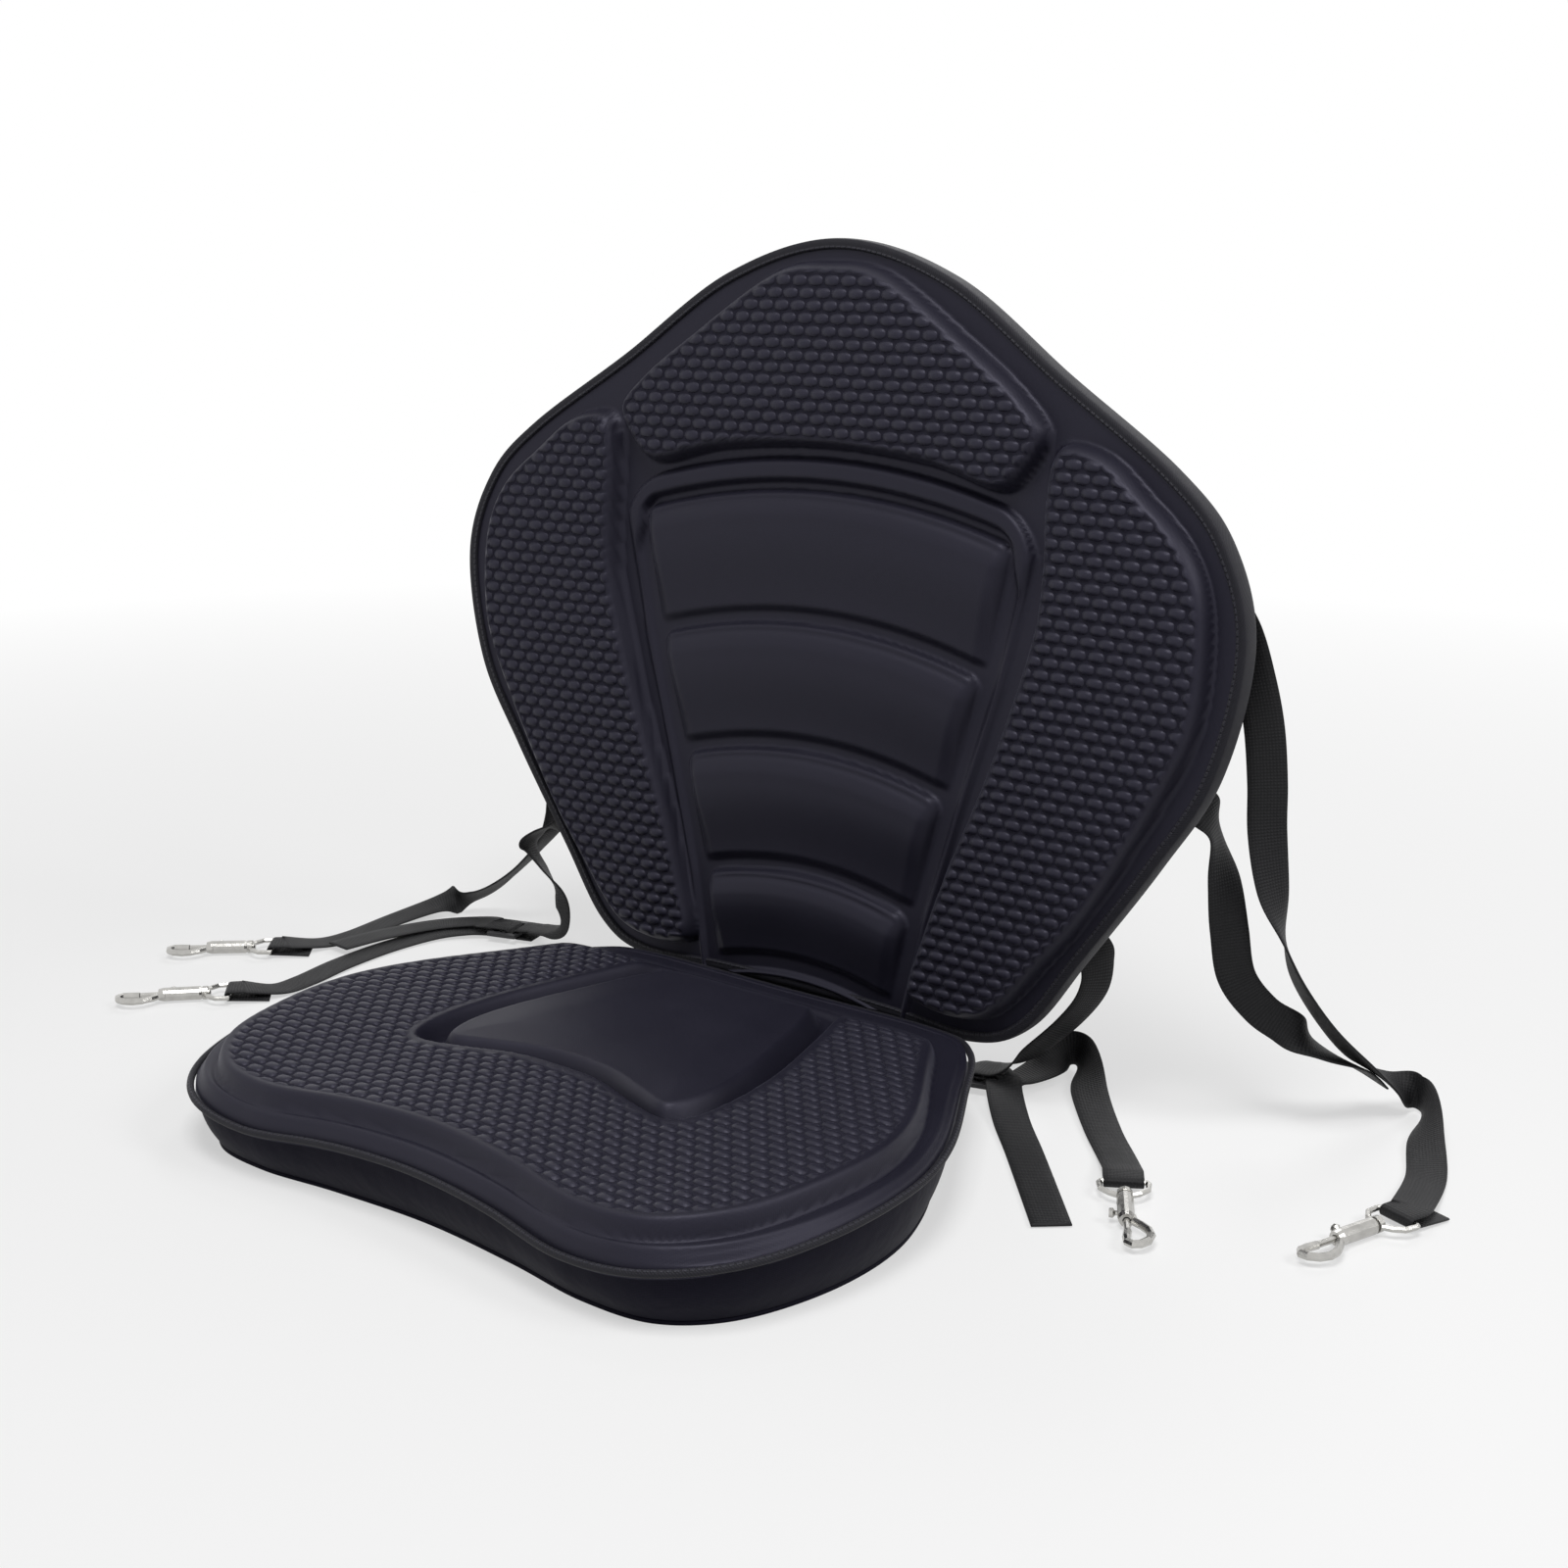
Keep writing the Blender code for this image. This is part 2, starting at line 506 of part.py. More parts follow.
def back_slab(name, points, front, rear, material, parent):
    """Thin sheet with a chamfered edge."""
    chamfer = min(SHEET_CHAMFER, (rear - front) / 3)
    loops = [back_loop(offset(points, -chamfer), front),
             back_loop(points, front + chamfer),
             back_loop(points, rear - chamfer),
             back_loop(offset(points, -chamfer), rear)]
    return add_wrapped(name, loft(loops), material, parent)


def raised_form(name, points, rise, material, parent, shoulder=PAD_SHOULDER):
    """Pad on the backrest: a steep wall, a rounded shoulder and a plateau."""
    top = BACK_PAD_RISE - rise
    loops = [back_loop(points, BACK_PAD_RISE + BACK_PANEL / 2)]
    loops += [back_loop(offset(points, -shoulder * inset), top + rise * drop) for inset, drop in PAD_ROUND]
    return add_wrapped(name, loft(loops), material, parent)


def arch(height, half_width, count):
    """Points of an arched line, left to right, lower at its ends."""
    points = []
    for k in range(count + 1):
        share = 2 * k / count - 1
        points.append(Vector((share * half_width, height - RIB_ARCH * BACK_HEIGHT * share ** 2
                              * half_width / (RIB_HALF_WIDTHS[0] * BACK_HALF_WIDTH))))
    return points


def rib_outline(index):
    """Outline of one lumbar rib between its arched top and the rib below it."""
    upper = arch(RIB_TOPS[index] * BACK_HEIGHT, RIB_HALF_WIDTHS[index] * BACK_HALF_WIDTH, RIB_PLACES)
    low_width = RIB_HALF_WIDTHS[index + 1] * BACK_HALF_WIDTH
    if index + 1 < len(RIB_TOPS):
        lower = arch(RIB_TOPS[index + 1] * BACK_HEIGHT, low_width * RIB_OVERLAP, RIB_PLACES)
        lower = [Vector((p.x, p.y + RIB_GAP)) for p in lower]
    else:
        lower = [Vector((p.x, RIB_BOTTOM * BACK_HEIGHT)) for p in arch(0, low_width, RIB_PLACES)]
    return upper + lower[::-1]


def arched_band_outline():
    """Outline of the narrow arched band above the top rib."""
    half_width = RIB_HALF_WIDTHS[0] * BACK_HALF_WIDTH
    upper = arch(ARCH_BAND_TOP * BACK_HEIGHT, half_width, RIB_PLACES)
    lower = arch(ARCH_BAND_LOW * BACK_HEIGHT, half_width, RIB_PLACES)
    return upper + lower[::-1]


def back_front_panel(material, parent):
    """Moulded front of the backrest: pads and ribs rise from one sheet."""
    outline = back_curve(BACK_OUTLINE)
    panel = back_slab("back_front_panel", outline, BACK_PAD_RISE, BACK_PAD_RISE + BACK_PANEL, material,
                      parent)
    forms = [raised_form("form_top_pad", back_curve(TOP_PAD_OUTLINE), BACK_PAD_RISE, material, parent)]
    for name, side in (("form_right_pad", 1), ("form_left_pad", -1)):
        points = closed_curve([(side * u * BACK_HALF_WIDTH, v * BACK_HEIGHT) for u, v in SIDE_PAD_OUTLINE],
                              2)
        forms.append(raised_form(name, points, BACK_PAD_RISE, material, parent))
    for index in range(len(RIB_TOPS)):
        forms.append(raised_form(f"form_rib_{index + 1}", rib_outline(index), RIB_RISE, material, parent,
                                 shoulder=RIB_SHOULDER))
    forms.append(raised_form("form_arched_band", arched_band_outline(), ARCH_BAND_RISE, material, parent,
                             shoulder=RIB_SHOULDER / 2))
    join_forms(panel, forms)
    return panel


def binding_ring(material, parent):
    """Folded tape round the rim, open towards the middle."""
    outline = back_curve(BACK_OUTLINE)
    front = BACK_PAD_RISE - GAP
    rear = back_rear_face() + GAP
    section = ((-BINDING_LIP, front), (GAP, front), (GAP, rear), (-BINDING_LIP, rear),
               (-BINDING_LIP, rear + BINDING), (GAP, rear + BINDING), (GAP + BINDING, rear),
               (GAP + BINDING, front), (GAP, front - BINDING), (-BINDING_LIP, front - BINDING))
    loops = [back_loop(offset(outline, n), w) for n, w in section]
    return add_wrapped("back_edge_binding", loft(loops, closed=True), material, parent)


def stiffener_front():
    """Depth of the stiffener's front face."""
    return BACK_PAD_RISE + BACK_PANEL + GAP


def back_rear_front():
    """Depth of the rear cover's front face."""
    return stiffener_front() + STIFFENER + GAP


def back_rear_face():
    """Depth of the rear cover's outer face."""
    return back_rear_front() + REAR_COVER


def back_world(u, w, v):
    """Point of the backrest in the part's frame."""
    lean = Matrix.Rotation(-RECLINE, 3, "X")
    return Vector((0, PIVOT_Y, PIVOT_Z)) + lean @ Vector((u, w - forward_reach(u), v))


def lower_edge(x):
    """Height of the backrest's lower outline above the pivot at a distance from its middle."""
    low = [p for p in back_curve(BACK_OUTLINE) if p.y < 0 and abs(p.x) < HINGE_WIDTH]
    return min(low, key=lambda p: abs(p.x - x)).y


def hinge_section(x):
    """Closed section of the cloth: a slack U from the seat's seam to the edge binding."""
    seam = Vector((SEAT_REAR + SEAM_BULGE + 2 * PIPING_RADIUS + 4 * GAP, SEAM_HEIGHT - SEAT_FLANGE / 2))
    edge = back_world(x, BACK_PAD_RISE + BACK_PANEL, lower_edge(x) - BINDING - 4 * GAP)
    binding = Vector((edge.y, edge.z))
    centre = []
    for k in range(HINGE_STEPS + 1):
        share = k / HINGE_STEPS
        sag = HINGE_SAG * math.sin(math.pi * share) ** HINGE_FULLNESS
        centre.append(seam.lerp(binding, share) - Vector((0, sag)))
    upper = []
    lower = []
    for k, point in enumerate(centre):
        along = (centre[min(k + 1, HINGE_STEPS)] - centre[max(k - 1, 0)]).normalized()
        normal = Vector((-along.y, along.x)) * HINGE_CLOTH / 2
        upper.append(point + normal)
        lower.append(point - normal)
    return upper + lower[::-1]


def hinge_web(material):
    """Slack cloth strip sewn from the seat's rear seam to the lower edge of the backrest."""
    places = [HINGE_WIDTH * (k / HINGE_PLACES - 0.5) for k in range(HINGE_PLACES + 1)]
    loops = [[(x, p.x, p.y) for p in hinge_section(x)] for x in places]
    return add_mesh("hinge_web", loft(loops), material)


# Webbing.

def smooth_route(route):
    """Samples of point and width direction along a smooth curve through a route."""
    points = [Vector(point) for point, _ in route]
    widths = [Vector(width).normalized() for _, width in route]
    samples = []
    last = len(route) - 1
    for i in range(last):
        keys = (max(i - 1, 0), i, i + 1, min(i + 2, last))
        for step in range(ROUTE_STEPS):
            t = step / ROUTE_STEPS
            samples.append((catmull_rom(*(points[k] for k in keys), t),
                            catmull_rom(*(widths[k] for k in keys), t).normalized()))
    samples.append((points[-1], widths[-1]))
    return samples


def ribbon(name, samples, material):
    """Flat webbing along samples of point and width direction."""
    count = len(samples)
    loops = []
    for i, (point, width) in enumerate(samples):
        along = (samples[min(i + 1, count - 1)][0] - samples[max(i - 1, 0)][0]).normalized()
        across = (width - along * width.dot(along)).normalized()
        normal = along.cross(across)
        side = across * WEBBING_WIDTH / 2
        up = normal * WEBBING / 2
        loops.append([point + side + up, point - side + up, point - side - up, point + side - up])
    return add_mesh(name, loft(loops), material)


def matched(samples, reference):
    """Samples with their width turned to the side of a reference width."""
    side = 1 if Vector(samples[0][1]).dot(Vector(reference)) > 0 else -1
    return [(Vector(point), Vector(width) * side) for point, width in samples]


def chain(*parts):
    """Parts of one webbing joined end to end, with its width kept on one side."""
    samples = list(parts[0])
    for part in parts[1:]:
        samples += matched(part, samples[-1][1])
    return samples


def turn_round(bar, heading, height, radius, lead, tail, tail_height):
    """Samples of webbing that runs over a bar, round it and back underneath."""
    forward = Vector((*heading, 0)).normalized()
    width = Vector((forward.y, -forward.x, 0))
    centre = Vector((*bar, height))
    samples = [(centre - forward * lead + Vector((0, 0, radius)), width)]
    for k in range(TURN_STEPS + 1):
        angle = math.pi * (0.5 - k / TURN_STEPS)
        spoke = forward * math.cos(angle) + Vector((0, 0, math.sin(angle)))
        samples.append((centre + spoke * radius, width))
    end = centre - forward * tail
    samples.append((Vector((end.x, end.y, tail_height)), width))
    return samples


def back_local(point):
    """Point of the part's frame in the backrest's frame."""
    return Matrix.Rotation(RECLINE, 3, "X") @ (Vector(point) - Vector((0, PIVOT_Y, PIVOT_Z)))


def anchored(route, anchor, side):
    """Route with the length sewn to the rear face of the backrest put before it."""
    face = back_rear_face() + GAP + WEBBING / 2
    end = Vector((side * anchor[0] * BACK_HALF_WIDTH, anchor[1] * BACK_HEIGHT))
    away = back_local(route[0][0])
    along = (Vector((away.x, away.z)) - end).normalized()
    start = end - along * ANCHOR_LENGTH
    step = end + along * ANCHOR_STEP
    half = Vector((along.y, -along.x)) * WEBBING_WIDTH / 2
    sewn = []
    for place, depth in ((start, face), (end, face), (step, face + BINDING + 3 * GAP)):
        edges = [back_world(place.x + way * half.x, depth, place.y + way * half.y) for way in (-1, 1)]
        sewn.append(((edges[0] + edges[1]) / 2, (edges[1] - edges[0]).normalized()))
    return matched(sewn, route[0][1]) + list(route)


def to_hook(route, hook):
    """Samples of a route that ends in the sewn loop round the bar of a hook's eye."""
    bar, heading = hook
    radius = BAR_RADIUS + GAP + WEBBING / 2
    loop = turn_round(bar, heading, HOOK_AXIS_HEIGHT, radius, LOOP_LEAD, LOOP_TAIL, WEBBING / 2 + 2 * GAP)
    samples = smooth_route(list(route) + matched(loop[:1], route[-1][1]))
    return chain(samples[:-1], loop)


def adjuster_turn(bar, heading, lead, tail):
    """Webbing round one bar of an adjuster."""
    radius = ADJUSTER_BAR / 2 * math.sqrt(2) + GAP + WEBBING / 2
    return turn_round(bar, heading, ADJUSTER_HEIGHT, radius, lead, tail, ADJUSTER_HEIGHT - radius)


def front_strap(name, route, tail, adjuster, hook, material):
    """Webbing from its cut end, round the middle bar of its adjuster and on to its hook."""
    bar, heading = adjuster
    reach = ADJUSTER_PITCH + ADJUSTER_CLEAR
    turn = adjuster_turn(bar, heading, reach, reach)
    arriving = smooth_route(list(tail[::-1]) + matched(turn[:1], tail[0][1]))
    leaving = to_hook(matched(turn[-1:], route[0][1]) + list(route), hook)
    return ribbon(name, chain(arriving[:-1], turn, leaving[1:]), material)


def anchor_strap(name, route, adjuster, side, over, material):
    """Webbing from the backrest to the far bar of an adjuster, over its other bars or from beyond it."""
    bar, heading = adjuster
    forward = Vector((*heading, 0)).normalized()
    far = Vector((*bar, 0)) + forward * ADJUSTER_PITCH
    if over:
        turn = adjuster_turn(far.xy, forward.xy, *OVER_REACH)
        keys = [(Vector((*bar, height)) + forward * along, turn[0][1]) for along, height in OVER_KEYS]
    else:
        turn = adjuster_turn(far.xy, -forward.xy, *BEYOND_REACH)
        keys = []
    keys = matched(keys + turn[:1], route[-1][1])
    samples = smooth_route(anchored(route, FRONT_ANCHOR, side) + keys)
    return ribbon(name, chain(samples[:-1], turn), material)


def adjuster_frame(name, adjuster, material):
    """Three-bar slide of moulded plastic."""
    (x, y), heading = adjuster
    forward = Vector((*heading, 0)).normalized()
    turn = Matrix.Rotation(math.atan2(forward.y, forward.x), 4, "Z")
    place = Matrix.Translation((x, y, ADJUSTER_HEIGHT)) @ turn
    length = 2 * ADJUSTER_PITCH + ADJUSTER_BAR
    slot_length = ADJUSTER_PITCH - ADJUSTER_BAR
    slot_width = WEBBING_WIDTH + ADJUSTER_PLAY
    xs = [-length / 2]
    for k in (-1, 1):
        xs += [k * ADJUSTER_PITCH / 2 - slot_length / 2, k * ADJUSTER_PITCH / 2 + slot_length / 2]
    xs.append(length / 2)
    ys = [-ADJUSTER_WIDTH / 2, -slot_width / 2, slot_width / 2, ADJUSTER_WIDTH / 2]
    bm = bmesh.new()
    grid = [[bm.verts.new((a, b, -ADJUSTER_BAR / 2)) for b in ys] for a in xs]
    for i in range(len(xs) - 1):
        for j in range(len(ys) - 1):
            if j == 1 and i in (1, 3):
                continue
            bm.faces.new((grid[i][j], grid[i + 1][j], grid[i + 1][j + 1], grid[i][j + 1]))
    extruded = bmesh.ops.extrude_face_region(bm, geom=list(bm.faces))
    top = [item for item in extruded["geom"] if isinstance(item, bmesh.types.BMVert)]
    bmesh.ops.translate(bm, verts=top, vec=(0, 0, ADJUSTER_BAR))
    return add_mesh(name, bm, material, matrix=place, smooth_angle=20)


# Snap hooks, along +X from the bar of the eye, with the claw opening to -Y.

def tube(points, radius, sides, taper=None):
    """Round rod along points in the XY plane, with flat ends."""
    loops = []
    count = len(points)
    for i, point in enumerate(points):
        along = (points[min(i + 1, count - 1)] - points[max(i - 1, 0)]).normalized()
        across = Vector((0, 0, 1)).cross(along).normalized()
        r = radius * (taper[i] if taper else 1)
        loops.append([point + (across * math.cos(a) + Vector((0, 0, 1)) * math.sin(a)) * r
                      for a in (2 * math.pi * k / sides for k in range(sides))])
    return loft(loops)


def turned(profile, sides):
    """Solid turned about +X from its radius at each place along the axis."""
    angles = [2 * math.pi * k / sides for k in range(sides)]
    return loft([[(x, r * math.cos(a), r * math.sin(a)) for a in angles] for x, r in profile])


def hook_place(hook):
    """Frame of a hook: bar of the eye at the origin, +X away from the strap."""
    (x, y), heading = hook
    turn = Matrix.Rotation(math.atan2(heading[1], heading[0]), 4, "Z")
    return Matrix.Translation((x, y, HOOK_AXIS_HEIGHT)) @ turn


def eye_line():
    """Middle line of the wire of a swivel eye: a bar with rounded corners and narrowing shoulders."""
    half = EYE_WIDTH / 2
    cut = EYE_CORNER * EYE_CORNER_CUT
    side = [(0, half - EYE_CORNER), (cut, half - cut), (EYE_CORNER, half)]
    side += [(along * EYE_LENGTH, across * half) for along, across in EYE_SHOULDERS]
    return [Vector((x, y, 0)) for x, y in side + [(x, -y) for x, y in side[::-1]]]


def hook_eye(name, hook, material):
    """Swivel eye: a D of wire on a bored boss."""
    points = eye_line()
    loops = []
    for before, point, after in zip(points[-1:] + points[:-1], points, points[1:] + points[:1]):
        across = (after - before).normalized().cross(Vector((0, 0, 1)))
        loops.append([point + (across * math.cos(a) + Vector((0, 0, 1)) * math.sin(a)) * BAR_RADIUS
                      for a in (2 * math.pi * (k + 0.5) / EYE_SIDES for k in range(EYE_SIDES))])
    place = hook_place(hook)
    eye = add_mesh(name, loft(loops, closed=True), material, matrix=place)
    start = EYE_LENGTH - EYE_BOSS_LENGTH / 2
    end = start + EYE_BOSS_LENGTH
    bore = STEM_RADIUS + GAP
    boss_bm = turned(((start, EYE_BOSS_RADIUS), (end, EYE_BOSS_RADIUS)), ROUND_SIDES)
    bore_bm = turned(((start - BORE_OVERRUN, bore), (end + BORE_OVERRUN, bore)), ROUND_SIDES)
    join_forms(eye, [add_mesh(name + "_boss", boss_bm, material, matrix=place)])
    join_forms(eye, [add_mesh(name + "_bore", bore_bm, material, matrix=place)], "DIFFERENCE")
    return eye


def barrel_start():
    """Where the hook's barrel starts behind the boss of the eye."""
    return EYE_LENGTH + EYE_BOSS_LENGTH / 2 + GAP


def stem_and_barrel():
    """Radius along the headed stem and the barrel of a hook."""
    head = EYE_LENGTH - EYE_BOSS_LENGTH / 2 - GAP
    start = barrel_start()
    end = start + BARREL_LENGTH
    small = BARREL_RADIUS * BARREL_END_SHARE
    stem = ((head - STEM_HEAD_LENGTH, STEM_HEAD_RADIUS * STEM_HEAD_DOME),
            (head - STEM_HEAD_LENGTH / 2, STEM_HEAD_RADIUS), (head, STEM_HEAD_RADIUS),
            (head, STEM_RADIUS), (start, STEM_RADIUS))
    barrel = ((start, small), (start + BARREL_CHAMFERS[0], BARREL_RADIUS),
              (end - BARREL_CHAMFERS[1], BARREL_RADIUS), (end, small))
    return stem + barrel


def thumb_slot():
    """Box cut through the wall of the barrel for the thumb piece and its travel."""
    size = Vector((BOLT_TRAVEL + 2 * THUMB_RADIUS, BARREL_RADIUS * 1.5, 2 * (THUMB_RADIUS / 2 + GAP)))
    centre = Vector((thumb_x() - BOLT_TRAVEL / 2, -size.y / 2, 0))
    bm = bmesh.new()
    bmesh.ops.create_cube(bm, size=1)
    for vert in bm.verts:
        vert.co = Vector(a * b for a, b in zip(vert.co, size)) + centre
    return bm


def hook_body(name, hook, material):
    """Headed stem, barrel with its slot, and claw."""
    end = barrel_start() + BARREL_LENGTH
    rear = end - BARREL_LENGTH * BARREL_BORE_DEPTH
    bore = BOLT_RADIUS + GAP
    path = [Vector((end + x * CLAW_REACH, y * CLAW_OFFSET, 0)) for x, y in CLAW_PATH]
    place = hook_place(hook)
    body = add_mesh(name, turned(stem_and_barrel(), BARREL_SIDES), material, matrix=place)
    claw = add_mesh(name + "_claw", tube(path, CLAW_WIRE, CLAW_SIDES), material, matrix=place)
    bore_bm = turned(((rear, bore), (end + BORE_OVERRUN, bore)), ROUND_SIDES)
    bore_form = add_mesh(name + "_bore", bore_bm, material, matrix=place)
    slot_form = add_mesh(name + "_slot", thumb_slot(), material, matrix=place)
    join_forms(body, [claw])
    join_forms(body, [bore_form, slot_form], "DIFFERENCE")
    return body


def thumb_x():
    """Place of the thumb piece along the hook when the gate is shut."""
    return barrel_start() + BARREL_LENGTH * THUMB_PLACE


def hook_bolt(name, hook, material):
    """Gate bolt with its thumb piece."""
    rear = thumb_x() - THUMB_RADIUS
    tip = barrel_start() + BARREL_LENGTH + CLAW_PATH[-1][0] * CLAW_REACH - GAP
    place = hook_place(hook)
    rod = turned(((rear, BOLT_RADIUS), (tip, BOLT_RADIUS)), BOLT_SIDES)
    bolt = add_mesh(name, rod, material, matrix=place)
    points = [Vector((thumb_x(), -BOLT_RADIUS / 2, 0))]
    points += [Vector((thumb_x(), -BARREL_RADIUS - out, 0)) for out, _ in THUMB_PROFILE]
    taper = (THUMB_NECK,) + tuple(share for _, share in THUMB_PROFILE)
    thumb = add_mesh(name + "_thumb", tube(points, THUMB_RADIUS, CLAW_SIDES, taper), material, matrix=place)
    join_forms(bolt, [thumb])
    return bolt


def snap_hook(prefix, hook, metal):
    """One swivel snap hook: eye, body and bolt."""
    hook_eye(f"{prefix}_eye", hook, metal)
    hook_body(f"{prefix}_body", hook, metal)
    hook_bolt(f"{prefix}_bolt", hook, metal)


def main():
    clear_scene()
    foam_cloth = make_material("moulded_foam_cloth", (0.020, 0.020, 0.028), 0.62)
    band_cloth = make_material("band_cloth", (0.016, 0.016, 0.022), 0.55)
    tape = make_material("binding_tape", (0.012, 0.012, 0.016), 0.7)
    foam = make_material("foam", (0.05, 0.05, 0.055), 0.9)
    board = make_material("stiffener_board", (0.03, 0.03, 0.03), 0.5)
    webbing = make_material("webbing", (0.015, 0.015, 0.016), 0.75)
    plastic = make_material("moulded_plastic", (0.01, 0.01, 0.01), 0.45)
    metal = make_material("nickel_plate", (0.75, 0.74, 0.72), 0.2, 1.0)

    seat_top_panel(foam_cloth)
    seat_core(foam)
    seat_side_band(band_cloth)
    seat_bottom_cover(band_cloth)
    seat_piping(tape)
    hinge_web(tape)

    pivot = bpy.data.objects.new("backrest_pivot", None)
    bpy.context.scene.collection.objects.link(pivot)
    pivot.location = (0, PIVOT_Y, PIVOT_Z)
    pivot.rotation_euler = (-RECLINE, 0, 0)
    back_front_panel(foam_cloth, pivot)
    back_slab("back_stiffener", offset(back_curve(BACK_OUTLINE, HIDDEN_STEPS), -STIFFENER_MARGIN),
              stiffener_front(), stiffener_front() + STIFFENER, board, pivot)
    back_slab("back_rear_cover", back_curve(BACK_OUTLINE), back_rear_front(), back_rear_face(),
              band_cloth, pivot)
    binding_ring(tape, pivot)

    for side, name, route, hook, brace in (
            (1, "right", REAR_RIGHT_ROUTE, REAR_RIGHT_HOOK, REAR_RIGHT_BRACE),
            (-1, "left", REAR_LEFT_ROUTE, REAR_LEFT_HOOK, REAR_LEFT_BRACE)):
        ribbon(f"strap_rear_{name}", to_hook(anchored(route, REAR_ANCHOR, side), hook), webbing)
        ribbon(f"strap_rear_{name}_brace", smooth_route(anchored(brace, BRACE_ANCHOR, side)), webbing)
    anchor_strap("strap_anchor_right", FRONT_ANCHOR_RIGHT, ADJUSTER_RIGHT, 1, True, webbing)
    anchor_strap("strap_anchor_left", FRONT_ANCHOR_LEFT, ADJUSTER_LEFT, -1, False, webbing)
    front_strap("strap_front_right", FRONT_RIGHT_ROUTE, FRONT_RIGHT_TAIL, ADJUSTER_RIGHT,
                FRONT_RIGHT_HOOK, webbing)
    front_strap("strap_front_left", FRONT_LEFT_ROUTE, FRONT_LEFT_TAIL, ADJUSTER_LEFT,
                FRONT_LEFT_HOOK, webbing)
    adjuster_frame("adjuster_right", ADJUSTER_RIGHT, plastic)
    adjuster_frame("adjuster_left", ADJUSTER_LEFT, plastic)

    for prefix, hook in (("hook_rear_right", REAR_RIGHT_HOOK), ("hook_rear_left", REAR_LEFT_HOOK),
                         ("hook_front_right", FRONT_RIGHT_HOOK), ("hook_front_left", FRONT_LEFT_HOOK)):
        snap_hook(prefix, hook, metal)


main()
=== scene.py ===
"""Looks of a padded kayak seat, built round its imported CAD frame.

Laid out as an add-on, and run as a script: each operator builds one piece or group of like pieces from
numpy surfaces whose formulas stand in their docstrings. Metres, +Z up, the seat faces -Y.
"""

import math

import bpy
import numpy as np
from mathutils import Matrix, Vector


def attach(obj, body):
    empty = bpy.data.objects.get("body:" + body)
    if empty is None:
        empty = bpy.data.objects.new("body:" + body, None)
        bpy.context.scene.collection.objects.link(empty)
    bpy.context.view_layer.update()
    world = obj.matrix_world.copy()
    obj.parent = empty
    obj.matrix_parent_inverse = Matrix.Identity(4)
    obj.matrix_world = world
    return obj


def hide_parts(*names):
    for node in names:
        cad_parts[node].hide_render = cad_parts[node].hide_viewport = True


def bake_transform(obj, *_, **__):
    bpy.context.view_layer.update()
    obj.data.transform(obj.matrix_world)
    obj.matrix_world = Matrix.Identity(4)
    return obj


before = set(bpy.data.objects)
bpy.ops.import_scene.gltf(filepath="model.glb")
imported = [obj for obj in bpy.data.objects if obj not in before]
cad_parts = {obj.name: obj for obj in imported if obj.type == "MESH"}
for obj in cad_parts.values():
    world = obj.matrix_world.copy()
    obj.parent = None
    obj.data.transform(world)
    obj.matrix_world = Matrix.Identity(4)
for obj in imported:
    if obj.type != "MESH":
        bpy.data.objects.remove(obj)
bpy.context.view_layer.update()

bl_info = {
    "name": "Kayak seat",
    "version": (1, 0, 0),
    "blender": (4, 5, 0),
    "location": "3D View > Sidebar > Kayak seat",
    "description": "Builds the looks of a padded kayak seat round its frame",
    "category": "Add Mesh",
}

# Seat pad, as in the frame.
SEAT_HALF_WIDTH, SEAT_FRONT, SEAT_REAR = 0.204, 0.153, 0.142
SEAM_HEIGHT, SEAT_FLANGE, PAD_RISE, STEP_HEIGHT, CHANNEL_DEPTH = 0.040, 0.005, 0.0135, 0.010, 0.012
FRONT_DIP, FRONT_DIP_START, FRONT_DIP_END = 0.0045, 0.020, 0.140
THIGH_DIP, THIGH_OFFSET, THIGH_SPREAD = 0.0060, 0.112, 0.050
PAD_FRONT_FALL, PAD_FRONT_DROP, PAD_FADE_START, PAD_FADE_END = 0.001, 0.0035, 0.095, 0.134
BAND_DRAFT, BOTTOM_COVER, PIPING_RADIUS, GAP = 0.010, 0.002, 0.0019, 0.0003

# Backrest, in its own frame: u across, w rearward from the face of the pads, v up from the pivot.
BACK_HALF_WIDTH, BACK_HEIGHT, BACK_WRAP = 0.264, 0.400, 0.013
RECLINE, PIVOT_Y, PIVOT_Z = math.radians(4.3), 0.148, 0.0545
BACK_PAD_RISE, BACK_PANEL, STIFFENER, REAR_COVER = 0.013, 0.0045, 0.0012, 0.0028
BINDING, BINDING_LIP = 0.0014, 0.007
REAR_FACE = BACK_PAD_RISE + BACK_PANEL + STIFFENER + REAR_COVER + 2 * GAP
FRONT_LIP = 0.0045
RIB_RISE, ARCH_BAND_RISE, RIB_ARCH, RIB_GAP = 0.009, 0.006, 0.047, 0.0045
RIB_TOPS = (0.665, 0.480, 0.300, 0.1225, -0.0205)
RIB_HALF_WIDTHS = (0.485, 0.425, 0.347, 0.277, 0.235)
ARCH_BAND = (0.675, 0.710)
HINGE_WIDTH, HINGE_SAG, HINGE_CLEAR = 0.190, 0.015, 0.0008

